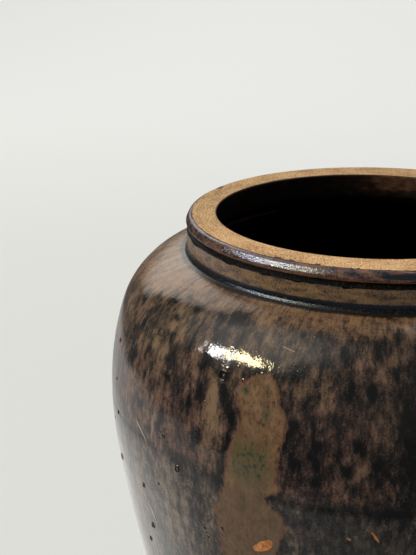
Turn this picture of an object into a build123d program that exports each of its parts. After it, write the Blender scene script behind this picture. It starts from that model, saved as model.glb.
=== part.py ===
from build123d import *

import os
from math import asin, atan2, cos, degrees, hypot, radians, sin, sqrt, tan

# Martaban jar: a wide-mouthed storage jar of stoneware, luted together from a base slab, two thrown
# halves, a neck collar and a lip ring, then glazed outside and inside.
# Millimetres, +Z up, origin at the centre of the foot on the ground. Every section is drawn with the
# radius along X and the height along Y, and is turned about the jar's axis. A depth is measured
# square to the wall, from the clay's outer face inwards, so the glaze outside has a negative one.

# Driving dimensions of the clay
foot_radius = 131.3
belly_radius = 210.0
neck_radius = 148.9
neck_wall = 26.7
belly_height = 332.7
shoulder_rise = 108.0
neck_height = 19.5
lip_height = 9.8
wall_thickness = 11.0
floor_thickness = 15.0

# Shares that place the two bends between foot, belly and neck
low_bend_radius_share = 0.952
low_bend_height_share = 0.852
knee_radius_share = 0.851
knee_height_share = 0.583

# Lip ring: bare flat top, rounded outer band, and the groove under it
lip_edge_inset = 2.6
lip_bulge = 0.9
groove_depth = 1.9
groove_half_width = 1.7

# Inside of the mouth and the hollow's corners
mouth_wall_height = 21.0
mouth_corner_radius = 2.5
hollow_corner_radius = 9.0
floor_corner_radius = 12.0
foot_edge_radius = 2.0

# Joints between the clay pieces
slip_thickness = 1.0
rebate_height = 8.0
toe_width = 10.0
belly_tongue_height = 4.0
belly_tongue_half_width = 2.8
seat_angle = 12.0
seat_lift = 1.6
lip_tongue_height = 2.4
lip_tongue_half_width = 4.0

# Glaze coats, their bare edges, and the glaze pooled in the groove and in the crease
outer_glaze_thickness = 0.8
inner_glaze_thickness = 0.6
bare_foot_height = 48.0
bare_lip_edge = 0.6
pool_width = 4.2
pool_height = 3.2
groove_fill_share = 0.62
groove_pool_clearance = 0.1

# Blisters and chips in the glaze: share of a full turn from the front, share of the wall's run from
# foot to crease, and share of the full radius
blister_radius = 2.6
blister_sink_share = 0.35
blister_shares = [
    (-0.082, 0.854, 1.0),
    (-0.040, 0.885, 0.6),
    (-0.110, 0.688, 0.9),
    (-0.121, 0.729, 0.7),
    (-0.143, 0.544, 0.8),
    (-0.153, 0.511, 0.9),
    (-0.144, 0.615, 0.7),
    (-0.181, 0.698, 0.8),
    (-0.126, 0.642, 0.7),
    (-0.022, 0.636, 0.6),
]
chip_radius = 5.6
chip_shares = [
    (-0.051, 0.611, 1.0),
    (0.004, 0.656, 0.35),
]

# Room that cutting and dividing shapes reach past the jar
overrun = 20.0
full_turn = 360.0

crease_height = belly_height + shoulder_rise
groove_height = crease_height + neck_height
overall_height = groove_height + lip_height
reach = belly_radius + overrun
mouth_radius = neck_radius - neck_wall
mouth_glaze_radius = mouth_radius - inner_glaze_thickness
neck_glaze_radius = neck_radius + outer_glaze_thickness


def chord_turn(lower, upper):
    """Turn of the outward normal of the straight line between two points of the wall, in degrees."""
    return degrees(atan2(lower[0] - upper[0], upper[1] - lower[1]))


# Stations up the clay's outer face: radius, height and the turn of the outward normal, which is level
# at the belly and follows from tangent arcs elsewhere
foot = (foot_radius, 0)
low_bend = (
    foot_radius + low_bend_radius_share * (belly_radius - foot_radius),
    low_bend_height_share * belly_height,
)
belly = (belly_radius, belly_height)
knee = (
    neck_radius + knee_radius_share * (belly_radius - neck_radius),
    belly_height + knee_height_share * shoulder_rise,
)
crease = (neck_radius, crease_height)

low_bend_turn = 2 * chord_turn(low_bend, belly)
foot_turn = 2 * chord_turn(foot, low_bend) - low_bend_turn
knee_turn = 2 * chord_turn(belly, knee)
crease_turn = 2 * chord_turn(knee, crease) - knee_turn
stations = [
    (foot, foot_turn),
    (low_bend, low_bend_turn),
    (belly, 0),
    (knee, knee_turn),
    (crease, crease_turn),
]

# Centre and radius of the shoulder's arc on the clay's outer face
shoulder_chord = hypot(knee[0] - crease[0], knee[1] - crease[1])
shoulder_radius = shoulder_chord / (2 * sin(radians(crease_turn - knee_turn) / 2))
shoulder_centre = (
    crease[0] - shoulder_radius * cos(radians(crease_turn)),
    crease[1] - shoulder_radius * sin(radians(crease_turn)),
)


def sunk(point, turn, depth):
    """The point moved in from the clay's outer face, square to the wall."""
    return (
        point[0] - depth * cos(radians(turn)),
        point[1] - depth * sin(radians(turn)),
    )


def wall_arcs(depth):
    """Draws the body's wall from the foot to the crease as tangent arcs and returns its two ends."""
    points = [sunk(point, turn, depth) for point, turn in stations]
    for start, end, (_, turn) in zip(points, points[1:], stations):
        TangentArc(start, end, tangent=(-sin(radians(turn)), cos(radians(turn))))
    return points[0], points[-1]


def jar_section(depth):
    """Section of the whole jar as if it were solid clay, drawn to the given depth of its face."""
    lip_bottom = groove_height + groove_half_width
    lip_middle = (lip_bottom + overall_height) / 2
    face = neck_radius - depth
    with BuildSketch() as section:
        with BuildLine():
            low_end, high_end = wall_arcs(depth)
            Polyline(high_end, (0, high_end[1]), (0, low_end[1]), low_end)
        make_face()
        with BuildLine():
            Polyline(
                (0, overall_height),
                (0, belly_height),
                (face, belly_height),
                (face, groove_height - groove_half_width),
                (face - groove_depth, groove_height),
                (face, lip_bottom),
            )
            ThreePointArc(
                (face, lip_bottom),
                (face + lip_bulge, lip_middle),
                (face - lip_edge_inset, overall_height),
            )
            Line((face - lip_edge_inset, overall_height), (0, overall_height))
        make_face()
    return section.sketch


def hollow_section(skin):
    """Section of the jar's hollow, with its face a skin's thickness in front of the clay."""
    radius = mouth_radius - skin
    mouth_wall_foot = (radius, overall_height - mouth_wall_height)
    top = overall_height + overrun
    floor = floor_thickness + skin
    with BuildSketch() as section:
        with BuildLine():
            low_end, high_end = wall_arcs(wall_thickness + skin)
            Polyline(high_end, mouth_wall_foot, (radius, top), (0, top), (0, low_end[1]), low_end)
        make_face()
        with BuildLine():
            Polyline((0, 0), (reach, 0), (reach, floor), (0, floor), close=True)
        make_face(mode=Mode.SUBTRACT)
        floor_corner = section.vertices().group_by(Axis.Y)[0].sort_by(Axis.X)[-1]
        fillet(floor_corner, radius=floor_corner_radius)
        fillet(section.vertices().sort_by_distance(high_end)[0], radius=hollow_corner_radius)
        fillet(section.vertices().sort_by_distance(mouth_wall_foot)[0], radius=mouth_corner_radius)
    return section.sketch


def moved_line(line, outwards, upwards):
    """The dividing line moved across its slip."""
    return [(radius + outwards, height + upwards) for radius, height in line]


def zone(lower_line, upper_line):
    """The region between two dividing lines that both run from the axis outwards."""
    with BuildSketch() as region:
        with BuildLine():
            Polyline(*lower_line, *reversed(upper_line), close=True)
        make_face()
    return region.sketch


def level_line(height):
    """A level dividing line."""
    return [(0, height), (reach, height)]


def tongued_line(height, middle, half_width, rise):
    """A level dividing line with a raised tongue in the middle of the wall."""
    return [
        (0, height),
        (middle - half_width, height),
        (middle, height + rise),
        (middle + half_width, height),
        (reach, height),
    ]


def seat_height(radius):
    """Height of the collar's sloping seat at a radius."""
    return crease_height + seat_lift + (radius - neck_radius) * tan(radians(seat_angle))


# Dividing lines between the clay pieces, each with the line on the upper side of its slip
rebate_radius = foot_radius - wall_thickness - toe_width
over_floor = floor_thickness + overrun
base_line = [
    (0, over_floor),
    (rebate_radius, over_floor),
    (rebate_radius, rebate_height),
    (reach, rebate_height),
]
belly_line = tongued_line(
    belly_height, belly_radius - wall_thickness / 2, belly_tongue_half_width, belly_tongue_height
)
neck_line = [(0, seat_height(0)), (reach, seat_height(reach))]
lip_line = tongued_line(
    groove_height, (mouth_radius + neck_radius) / 2, lip_tongue_half_width, lip_tongue_height
)
base_slip_line = moved_line(base_line, slip_thickness, slip_thickness)
belly_slip_line = moved_line(belly_line, 0, slip_thickness)
neck_slip_line = moved_line(neck_line, 0, slip_thickness)
lip_slip_line = moved_line(lip_line, 0, slip_thickness)
ground_line = level_line(-overrun)
sky_line = level_line(overall_height + overrun)

# The clay's section is the solid jar less its hollow, with the foot's edge rounded
clay_outside = jar_section(0)
hollow_in_clay = hollow_section(0)
with BuildSketch() as clay:
    add(clay_outside)
    fillet(clay.vertices().sort_by_distance(foot)[0], radius=foot_edge_radius)
    add(hollow_in_clay, mode=Mode.SUBTRACT)
clay_section = clay.sketch


def clay_between(lower_line, upper_line):
    """The part of the clay's section between two dividing lines."""
    region = zone(lower_line, upper_line)
    with BuildSketch() as piece:
        add(clay_section)
        add(region, mode=Mode.INTERSECT)
    return piece.sketch


# Base slab: a disc with a rebate round its edge
with BuildPart() as base_slab:
    with BuildSketch(Plane.XZ):
        add(clay_between(ground_line, base_line))
    revolve(axis=Axis.Z)
base_slab.part.label = "base_slab"

# Luting slip between the slab and the lower half
with BuildPart() as base_joint_slip:
    with BuildSketch(Plane.XZ):
        add(clay_between(base_line, base_slip_line))
    revolve(axis=Axis.Z)
base_joint_slip.part.label = "base_joint_slip"

# Lower half of the body, from the slab to the tongue at the belly
with BuildPart() as lower_body:
    with BuildSketch(Plane.XZ):
        add(clay_between(base_slip_line, belly_line))
    revolve(axis=Axis.Z)
lower_body.part.label = "lower_body"

# Luting slip between the two halves, which shows as the dark line round the belly
with BuildPart() as belly_joint_slip:
    with BuildSketch(Plane.XZ):
        add(clay_between(belly_line, belly_slip_line))
    revolve(axis=Axis.Z)
belly_joint_slip.part.label = "belly_joint_slip"

# Upper half of the body, from the belly to the collar's sloping seat
with BuildPart() as upper_body:
    with BuildSketch(Plane.XZ):
        add(clay_between(belly_slip_line, neck_line))
    revolve(axis=Axis.Z)
upper_body.part.label = "upper_body"

# Luting slip under the neck collar
with BuildPart() as neck_joint_slip:
    with BuildSketch(Plane.XZ):
        add(clay_between(neck_line, neck_slip_line))
    revolve(axis=Axis.Z)
neck_joint_slip.part.label = "neck_joint_slip"

# Neck collar: a thick ring that stands on the shoulder
with BuildPart() as neck_collar:
    with BuildSketch(Plane.XZ):
        add(clay_between(neck_slip_line, lip_line))
    revolve(axis=Axis.Z)
neck_collar.part.label = "neck_collar"

# Luting slip under the lip ring
with BuildPart() as lip_joint_slip:
    with BuildSketch(Plane.XZ):
        add(clay_between(lip_line, lip_slip_line))
    revolve(axis=Axis.Z)
lip_joint_slip.part.label = "lip_joint_slip"

# Lip ring: flat bare top and rounded outer band
with BuildPart() as lip_ring:
    with BuildSketch(Plane.XZ):
        add(clay_between(lip_slip_line, sky_line))
    revolve(axis=Axis.Z)
lip_ring.part.label = "lip_ring"

# The wall's run on the glaze's outer face, from foot to crease
with BuildLine() as glaze_run:
    wall_arcs(-outer_glaze_thickness)
glaze_wire = glaze_run.wire()


def on_glaze(turn_share, run_share):
    """Plane that touches the outer glaze at shares of a full turn and of the wall's run, facing out."""
    spot = glaze_wire @ run_share
    along = glaze_wire % run_share
    turn = radians(turn_share * full_turn)
    return Plane(
        origin=(spot.X * sin(turn), -spot.X * cos(turn), spot.Y),
        z_dir=(along.Y * sin(turn), -along.Y * cos(turn), -along.X),
    )


# Outer glaze: one coat from the bare foot to the lip's top edge, chipped through in two places
glazed_outside = jar_section(-outer_glaze_thickness)
outer_coat_zone = zone(level_line(bare_foot_height), level_line(overall_height - bare_lip_edge))
with BuildPart() as outer_glaze:
    with BuildSketch(Plane.XZ):
        add(glazed_outside)
        add(outer_coat_zone, mode=Mode.INTERSECT)
        add(clay_outside, mode=Mode.SUBTRACT)
    revolve(axis=Axis.Z)
    for turn_share, run_share, size_share in chip_shares:
        with BuildSketch(on_glaze(turn_share, run_share)):
            Circle(size_share * chip_radius)
        extrude(amount=wall_thickness, both=True, mode=Mode.SUBTRACT)
outer_glaze.part.label = "outer_glaze"

# Inner glaze: one coat over the floor and wall, up to the mouth's edge
hollow_in_glaze = hollow_section(inner_glaze_thickness)
inner_coat_zone = zone(ground_line, level_line(overall_height - bare_lip_edge))
with BuildPart() as inner_glaze:
    with BuildSketch(Plane.XZ):
        add(hollow_in_clay)
        add(hollow_in_glaze, mode=Mode.SUBTRACT)
        add(inner_coat_zone, mode=Mode.INTERSECT)
    revolve(axis=Axis.Z)
inner_glaze.part.label = "inner_glaze"


def between(start, end, share):
    """The point at a share of the way from start to end."""
    return (
        start[0] + share * (end[0] - start[0]),
        start[1] + share * (end[1] - start[1]),
    )


# Glaze pooled in the groove under the lip
groove_pool_face = neck_glaze_radius + groove_pool_clearance
groove_bottom = (groove_pool_face - groove_depth, groove_height)
groove_low = between(
    groove_bottom, (groove_pool_face, groove_height - groove_half_width), groove_fill_share
)
groove_high = between(
    groove_bottom, (groove_pool_face, groove_height + groove_half_width), groove_fill_share
)
with BuildPart() as lip_groove_glaze:
    with BuildSketch(Plane.XZ):
        with BuildLine():
            Polyline(groove_high, groove_bottom, groove_low, close=True)
        make_face()
    revolve(axis=Axis.Z)
lip_groove_glaze.part.label = "lip_groove_glaze"


def on_shoulder(radius):
    """Point of the shoulder's outer glaze at a radius."""
    arc_radius = shoulder_radius + outer_glaze_thickness
    rise = sqrt(arc_radius**2 - (radius - shoulder_centre[0]) ** 2)
    return (radius, shoulder_centre[1] + rise)


# Glaze pooled in the crease where the neck stands on the shoulder
pool_corner = on_shoulder(neck_glaze_radius)
pool_middle = on_shoulder(neck_glaze_radius + pool_width / 2)
pool_edge = on_shoulder(neck_glaze_radius + pool_width)
pool_top = (neck_glaze_radius, pool_corner[1] + pool_height)
with BuildPart() as neck_crease_glaze:
    with BuildSketch(Plane.XZ):
        with BuildLine():
            Line(pool_top, pool_corner)
            ThreePointArc(pool_corner, pool_middle, pool_edge)
            Line(pool_edge, pool_top)
        make_face()
    revolve(axis=Axis.Z)
neck_crease_glaze.part.label = "neck_crease_glaze"

# Blisters: round caps of glaze that stand on the outer coat
blister_base_angle = degrees(asin(blister_sink_share))
with BuildPart() as glaze_blisters:
    for turn_share, run_share, size_share in blister_shares:
        with Locations(on_glaze(turn_share, run_share)):
            Sphere(
                size_share * blister_radius,
                arc_size1=blister_base_angle,
                align=(Align.CENTER, Align.CENTER, Align.MIN),
            )
glaze_blisters.part.label = "glaze_blisters"

pieces = [
    base_slab,
    base_joint_slip,
    lower_body,
    belly_joint_slip,
    upper_body,
    neck_joint_slip,
    neck_collar,
    lip_joint_slip,
    lip_ring,
    outer_glaze,
    inner_glaze,
    lip_groove_glaze,
    neck_crease_glaze,
    glaze_blisters,
]
os.makedirs("parts", exist_ok=True)
for piece in pieces:
    export_step(piece.part, f"parts/{piece.part.label}.step")

print("overall height", round(overall_height, 1))
print("outer rim radius", round(neck_glaze_radius + lip_bulge, 1))
print("mouth radius inside the glaze", round(mouth_glaze_radius, 1))
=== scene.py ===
from functools import partial
from math import atan2, cos, degrees, hypot, pi, radians, sin

import bpy
import numpy as np
from mathutils import Matrix, Vector


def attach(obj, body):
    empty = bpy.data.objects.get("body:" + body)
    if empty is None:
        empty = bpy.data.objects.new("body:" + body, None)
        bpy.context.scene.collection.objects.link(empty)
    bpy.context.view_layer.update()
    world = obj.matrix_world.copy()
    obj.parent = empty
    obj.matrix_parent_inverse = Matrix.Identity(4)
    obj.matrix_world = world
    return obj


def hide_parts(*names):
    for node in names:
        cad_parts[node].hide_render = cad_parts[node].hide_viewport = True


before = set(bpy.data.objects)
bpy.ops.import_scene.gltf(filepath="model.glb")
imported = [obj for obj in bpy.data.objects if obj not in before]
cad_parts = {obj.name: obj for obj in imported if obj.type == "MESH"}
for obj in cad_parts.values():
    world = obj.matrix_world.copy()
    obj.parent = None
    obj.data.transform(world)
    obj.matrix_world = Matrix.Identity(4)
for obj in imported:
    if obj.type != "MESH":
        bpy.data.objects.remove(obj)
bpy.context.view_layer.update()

# Martaban jar, dressed over its CAD frame. Metres, +Z up, origin at the centre of the foot. Azimuth
# 0 is the jar's front, -Y, and grows towards +X. A run is a length down the outer wall from the
# crease at the foot of the neck. A lift is a length out from the nominal face of the glaze.
MM = 0.001
TURN = 2 * pi

# Sizes of the jar, as in its CAD model
FOOT_RADIUS = 131.3 * MM
BELLY_RADIUS = 210.0 * MM
NECK_RADIUS = 148.9 * MM
BELLY_HEIGHT = 332.7 * MM
SHOULDER_RISE = 108.0 * MM
NECK_HEIGHT = 19.5 * MM
LIP_HEIGHT = 9.8 * MM
WALL = 11.0 * MM
FLOOR = 15.0 * MM
LOW_BEND_SHARES = (0.952, 0.852)
KNEE_SHARES = (0.851, 0.583)
LIP_EDGE_INSET = 2.6 * MM
LIP_BULGE = 0.9 * MM
GROOVE_DEPTH = 1.9 * MM
GROOVE_HALF_WIDTH = 1.7 * MM
MOUTH_WALL_HEIGHT = 21.0 * MM
OUTER_COAT = 0.8 * MM
INNER_COAT = 0.6 * MM
BARE_FOOT_HEIGHT = 48.0 * MM
REBATE_HEIGHT = 8.0 * MM

CREASE_HEIGHT = BELLY_HEIGHT + SHOULDER_RISE
GROOVE_HEIGHT = CREASE_HEIGHT + NECK_HEIGHT
TOP = GROOVE_HEIGHT + LIP_HEIGHT
NECK_FACE = NECK_RADIUS + OUTER_COAT

# How finely the pieces are divided, with the columns closest together on the side of FINE_SIDE
COLUMNS = 900
FINE_SIDE = radians(-30)
FINE_SHARE = 0.35
SHOULDER_ROWS = 96
LOWER_ROWS = 104
LOWER_ROWS_POWER = 1.35
CLAY_COLUMNS = 360
UNDERSIDE_ROWS = 64
INNER_COLUMNS = 420
INNER_ROWS = 74
WASH_COLUMNS = 480
WASH_ROWS = 40
HAIR_ROWS = 60
HAIR_SIDES = 8
BLISTER_SIDES = 14
BLISTER_RINGS = 6

# Spacing of the marks of hands and tools, and the centre of the cutting wire's arcs
OUTER_RINGS = 15 * MM
INNER_RINGS = 17 * MM
FOOT_RINGS = 6.5 * MM
WIRE_RIDGES = 6.5 * MM
WIRE_PULL = (210 * MM, 60 * MM)

# Rows in the noise's lattice, and how many lie above the crease
LATTICE_ROWS = 256
LATTICE_START = 64


def hex_colour(code):
    """sRGB hex value as linear red, green, blue and alpha."""
    channels = [int(code[i : i + 2], 16) / 255 for i in (0, 2, 4)]
    linear = [c / 12.92 if c <= 0.04045 else ((c + 0.055) / 1.055) ** 2.4 for c in channels]
    return (*linear, 1.0)


def eased(value, low, high):
    """3t² - 2t³, where t is how far the value lies from low to high, held between 0 and 1."""
    share = np.clip((value - low) / (high - low), 0, 1)
    return share * share * (3 - 2 * share)


def ripple(azimuth, run, cells, length, seed):
    """Smooth noise from -1 to 1: random heights on a lattice of so many cells round the jar and one
    length down it, eased from each lattice point to the next, which closes round the jar."""
    heights = np.random.default_rng(seed).uniform(-1, 1, (LATTICE_ROWS, cells))
    across = np.asarray(azimuth) / TURN * cells
    down = np.asarray(run) / length + LATTICE_START
    column, row = np.floor(across).astype(int), np.floor(down).astype(int)
    s, t = eased(across - column, 0, 1), eased(down - row, 0, 1)
    left, right = column % cells, (column + 1) % cells
    upper, lower = row % LATTICE_ROWS, (row + 1) % LATTICE_ROWS
    high = heights[upper, left] * (1 - s) + heights[upper, right] * s
    low = heights[lower, left] * (1 - s) + heights[lower, right] * s
    return high * (1 - t) + low * t


def apart(azimuth, centre):
    """Angle from the centre to the azimuth, the short way round."""
    return (azimuth - centre + pi) % TURN - pi


# Outer wall: four tangent arcs from foot to crease, as the clay was drawn
def chord_turn(lower, upper):
    """Turn of the outward normal of the line between two points of the wall."""
    return atan2(lower[0] - upper[0], upper[1] - lower[1])


def wall_arcs():
    """The wall's arcs from the crease down: centre, radius on the glaze's face, turn of the normal
    at the upper end, and the run at which the arc starts. Each arc takes its tangent from the
    last."""
    foot, belly = (FOOT_RADIUS, 0), (BELLY_RADIUS, BELLY_HEIGHT)
    crease = (NECK_RADIUS, CREASE_HEIGHT)
    bend_out, bend_up = LOW_BEND_SHARES
    low_bend = (FOOT_RADIUS + bend_out * (BELLY_RADIUS - FOOT_RADIUS), bend_up * BELLY_HEIGHT)
    knee_out, knee_up = KNEE_SHARES
    knee = (
        NECK_RADIUS + knee_out * (BELLY_RADIUS - NECK_RADIUS),
        BELLY_HEIGHT + knee_up * SHOULDER_RISE,
    )
    low_turn = 2 * chord_turn(low_bend, belly)
    knee_turn = 2 * chord_turn(belly, knee)
    points = [crease, knee, belly, low_bend, foot]
    crease_turn = 2 * chord_turn(knee, crease) - knee_turn
    turns = [crease_turn, knee_turn, 0, low_turn, 2 * chord_turn(foot, low_bend) - low_turn]
    arcs, start = [], 0.0
    for upper, lower, turn, next_turn in zip(points, points[1:], turns, turns[1:]):
        chord = hypot(upper[0] - lower[0], upper[1] - lower[1])
        radius = chord / (2 * sin((turn - next_turn) / 2))
        centre = (upper[0] - radius * cos(turn), upper[1] - radius * sin(turn))
        arcs.append((*centre, radius + OUTER_COAT, turn, start))
        start += (radius + OUTER_COAT) * (turn - next_turn)
    return np.array(arcs), start


ARCS, WALL_RUN = wall_arcs()


def wall(run, lift=0.0):
    """Radius and height of the outer wall at a run, moved out square to the wall by the lift. A
    point of an arc is its centre plus its radius along the normal, which turns evenly with the
    run."""
    run = np.asarray(run, dtype=float)
    arc = np.clip(np.searchsorted(ARCS[:, 4], run, side="right") - 1, 0, len(ARCS) - 1)
    centre_out, centre_up, radius, turn, start = ARCS[arc].transpose(-1, *range(run.ndim))
    turn = turn - (run - start) / radius
    reach = radius + lift
    return centre_out + reach * np.cos(turn), centre_up + reach * np.sin(turn)


def run_at_height(height):
    """The run at which the wall passes a height, found on a fine scale of runs."""
    runs = np.linspace(0, WALL_RUN, 4000)
    return float(np.interp(-height, -wall(runs)[1], runs))


# Marks on the glaze, placed by the photograph on the side that it shows. Each has its azimuth in
# degrees, then its run, half width and half length in millimetres. A tone is a soft mark, and its
# last value says how much darker or lighter than the glaze round it.
TONES = [
    (-5.3, 41, 5.0, 7.0, -1.5), (-9.6, 42, 4.0, 6.5, -0.7), (-1.7, 42, 2.5, 2.5, -0.7),
    (1.5, 35, 6.5, 9.0, -0.8), (5.2, 25, 4.0, 9.0, -0.9), (-3.0, 26, 8.0, 4.0, -0.6),
    (-11.0, 28, 7.0, 3.5, -0.6), (-15.2, 29, 3.0, 3.0, -0.6), (-0.2, 65, 3.4, 7.0, -1.4),
    (-4.2, 63, 2.2, 6.5, -1.2), (-14.3, 56, 5.0, 5.5, -1.5), (-31.8, 27, 8.5, 7.5, -1.2),
    (-37.0, 28, 7.0, 3.5, -0.8), (-29.0, 40, 5.0, 6.0, -0.6), (-24.3, 38, 3.2, 7.0, -0.8),
    (-34.8, 41, 7.0, 5.0, -0.5), (-34.8, 64, 4.5, 8.0, -1.0), (-34.9, 86, 4.8, 11.0, -1.0),
    (-37.6, 94, 2.8, 6.5, -1.2), (-37.0, 104, 2.4, 5.0, -0.6), (-34.7, 118, 4.6, 8.0, -1.7),
    (-53.0, 33, 4.0, 3.5, -1.2), (-44.5, 30, 8.0, 3.5, -1.0), (-49.0, 27, 7.0, 2.5, -0.7),
    (-64.2, 48, 5.5, 5.0, -1.2), (-59.3, 40, 4.0, 5.5, -1.0), (-58.3, 61, 3.0, 8.0, -0.6),
    (-62.3, 32, 4.0, 4.0, -0.5), (-65.5, 75, 7.0, 8.0, -0.4), (-59.0, 88, 7.0, 7.0, -0.8),
    (-53.0, 76, 3.2, 10.0, -0.7), (-48.2, 45, 4.0, 3.5, -0.8), (-46.5, 55, 3.0, 6.0, -0.6),
    (-44.8, 85, 4.5, 3.0, -0.9), (-44.0, 73, 4.5, 6.0, -0.4), (-42.7, 42, 3.2, 7.0, -0.6),
    (-40.5, 54, 4.5, 8.0, -0.5), (-44.7, 118, 3.0, 13.0, -0.9), (-49.0, 131, 5.5, 5.0, -0.9),
    (-52.5, 119, 4.5, 5.0, -0.7), (-49.0, 97, 5.0, 5.0, -0.6), (-56.5, 121, 6.5, 6.5, -0.4),
    (-12.0, 86, 5.0, 9.0, -0.8), (-10.6, 73, 3.2, 8.0, -0.6), (-14.8, 96, 3.4, 12.0, -0.8),
    (-13.2, 118, 5.5, 18.0, -0.7), (-9.6, 111, 4.8, 20.0, -1.0), (-2.0, 101, 3.8, 6.5, -1.5),
    (1.3, 113, 5.5, 8.5, -0.9), (-3.7, 120, 4.2, 5.0, -1.3), (-6.2, 86, 3.6, 9.0, -0.6),
    (-6.0, 112, 4.0, 12.0, -0.5), (7.6, 95, 7.0, 42.0, -1.6), (4.6, 62, 4.0, 11.0, -0.6),
    (-12.4, 66, 2.8, 5.0, 0.6), (-13.4, 74, 3.2, 6.0, 0.7), (-14.3, 82, 3.0, 5.0, 0.5),
    (-7.6, 66, 2.6, 4.5, 0.6), (-8.5, 74, 3.6, 7.0, 0.8), (-9.2, 83, 3.0, 6.0, 0.5),
    (-2.8, 48, 4.0, 4.0, 0.9), (2.0, 57, 4.5, 6.5, 0.7), (-11.5, 52, 6.0, 9.0, 0.5),
    (-1.3, 117, 3.4, 9.0, 0.9), (1.6, 90, 10.0, 13.0, 0.4), (-24.0, 37, 34.0, 9.0, 0.45),
    (-26.0, 112, 3.0, 12.0, 0.7), (-31.5, 82, 6.0, 12.0, 0.7), (-31.6, 100, 8.5, 24.0, 0.7),
    (-47.8, 50, 5.5, 4.0, 0.7), (-43.5, 52, 5.0, 8.0, 0.6), (-49.0, 35, 5.5, 6.0, 0.6),
    (-51.0, 67, 3.2, 6.0, 0.8), (-57.2, 69, 3.2, 8.0, 0.8), (-56.0, 41, 7.0, 5.5, 0.5),
    (-61.3, 50, 7.0, 11.0, 0.4), (-40.0, 70, 6.5, 5.0, 0.6), (-47.2, 71, 4.0, 9.0, 0.5),
    (-43.3, 96, 4.0, 7.0, 0.5), (-47.2, 127, 2.0, 11.0, 1.2), (-44.8, 140, 4.0, 6.0, 0.7),
    (-24.0, 62, 26.0, 5.0, -0.5), (-36.0, 75, 5.0, 4.0, 0.5), (-44.0, 178, 42.0, 44.0, 0.4),
    (-39.5, 178, 2.6, 16.0, -0.7), (-43.5, 190, 3.0, 22.0, 0.6), (-48.5, 166, 3.0, 14.0, -0.5),
    (-7.5, 166, 5.0, 12.0, 0.5), (-13.0, 182, 4.0, 12.0, 0.5), (-38.0, 178, 5.0, 16.0, 0.4),
]
# Places where the glaze is redder, or more olive where the last value is negative
COLOURS = [
    (-31.6, 92, 9.0, 30.0, -0.6), (-20.0, 60, 22.0, 9.0, 0.5), (-48.0, 60, 24.0, 26.0, -0.4),
]
# The dark run of glaze that drops from the large blister: azimuth, run and half width
DARK_RUN = [
    (-29.8, 69, 6.0), (-28.8, 78, 5.0), (-27.4, 90, 4.0), (-26.8, 105, 2.4), (-27.6, 120, 2.2),
    (-28.2, 136, 3.2), (-28.9, 150, 3.4),
]
# Outlines of the patches where iron came out of the glaze: run in millimetres, then the azimuths of
# the left and the right edge in degrees
LARGE_PATCH = [
    (62, -22.5, -19.8), (68, -25.0, -17.8), (80, -25.4, -16.9), (92, -24.8, -15.6),
    (103, -25.3, -15.3), (109, -26.1, -16.8), (126, -27.0, -16.4), (140, -27.5, -16.6),
    (147, -27.5, -19.0), (156, -28.6, -16.0), (166, -29.8, -14.9), (178, -29.6, -15.8),
    (196, -29.0, -17.5), (224, -27.0, -20.5), (236, -24.5, -22.5),
]
# Where the patches have a green cast
GREEN_MARKS = [
    (-22.4, 125, 19.0, 22.0, 0.8), (-19.4, 88, 3.0, 4.5, 0.9), (-24.2, 75, 3.5, 3.5, 0.9),
    (-24.0, 158, 6.0, 8.0, 0.4),
]
# Chips and scratches through to the clay, with how far each leans to the left of the fall line
CHIPS = [
    (-19.5, 185, 3.5, 9.5, 55), (1.5, 164, 0.8, 5.0, -34), (-3.2, 167, 0.7, 2.4, -60),
]
# Blisters: azimuth, run, radius, height as a share of the radius, and 1 where the blister has burst
BLISTERS = [
    (-29.7, 69.2, 5.0, 0.5, 1), (-29.7, 69.4, 1.3, 0.3, 0), (-29.6, 51.5, 1.5, 0.5, 1),
    (-29.3, 63.6, 2.4, 0.15, 0), (-30.6, 61.0, 1.6, 0.15, 0), (-27.0, 60.6, 1.5, 0.15, 0),
    (-25.3, 69.0, 1.4, 0.16, 0), (-21.6, 61.5, 1.5, 0.2, 0), (-14.3, 56, 1.9, 0.55, 1),
    (-15.4, 52.5, 1.2, 0.55, 0), (-16.0, 56.5, 0.9, 0.55, 0), (-13.4, 53, 1.0, 0.55, 0),
    (-39.4, 148, 3.0, 0.5, 1), (-43.5, 128, 2.0, 0.5, 1), (-44.6, 126, 1.5, 0.5, 0),
    (-42.6, 125, 1.4, 0.5, 0), (-43.2, 122.5, 1.2, 0.5, 0), (-44.8, 131.5, 1.4, 0.5, 0),
    (-42.2, 131, 1.2, 0.5, 1), (-34.6, 25.5, 1.3, 0.55, 1), (-52.8, 183, 2.4, 0.5, 1),
    (-51.9, 217, 2.8, 0.5, 1), (-67.3, 184, 3.2, 0.3, 0), (-55.0, 235, 2.3, 0.5, 0),
    (-46.0, 170, 1.3, 0.5, 1), (-65.6, 143, 2.0, 0.4, 0), (-3.6, 120, 1.6, 0.5, 1),
    (-8.2, 173, 1.4, 0.5, 1), (-5.7, 155, 1.4, 0.5, 1), (-18.4, 79, 1.2, 0.5, 1),
    (-69.2, 89, 2.2, 0.35, 0), (-67.5, 118, 1.6, 0.35, 0), (-41.0, 143, 1.2, 0.5, 1),
    (-37.3, 145, 1.2, 0.5, 0), (-38.4, 151.5, 1.1, 0.5, 1), (-47.0, 139, 1.1, 0.5, 0),
    (-33.0, 187, 1.8, 0.4, 0), (-34.2, 183, 1.5, 0.4, 0), (-32.3, 194, 1.4, 0.5, 0),
    (-28.5, 181.5, 1.9, 0.4, 0),
]
# Raised hairs of glaze: the azimuths and runs that each passes, and its half width
GLAZE_HAIRS = [
    ([(-59.7, 186), (-53.6, 190), (-50.9, 202), (-49.7, 213.5)], 0.7),
    ([(-53.9, 131), (-51.6, 136), (-49.4, 143)], 0.5),
    ([(-19.3, 40.4), (-17.6, 42.0), (-15.8, 43.6)], 0.55),
    ([(150.0, 96), (153.0, 112), (151.0, 130)], 0.4),
]
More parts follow.
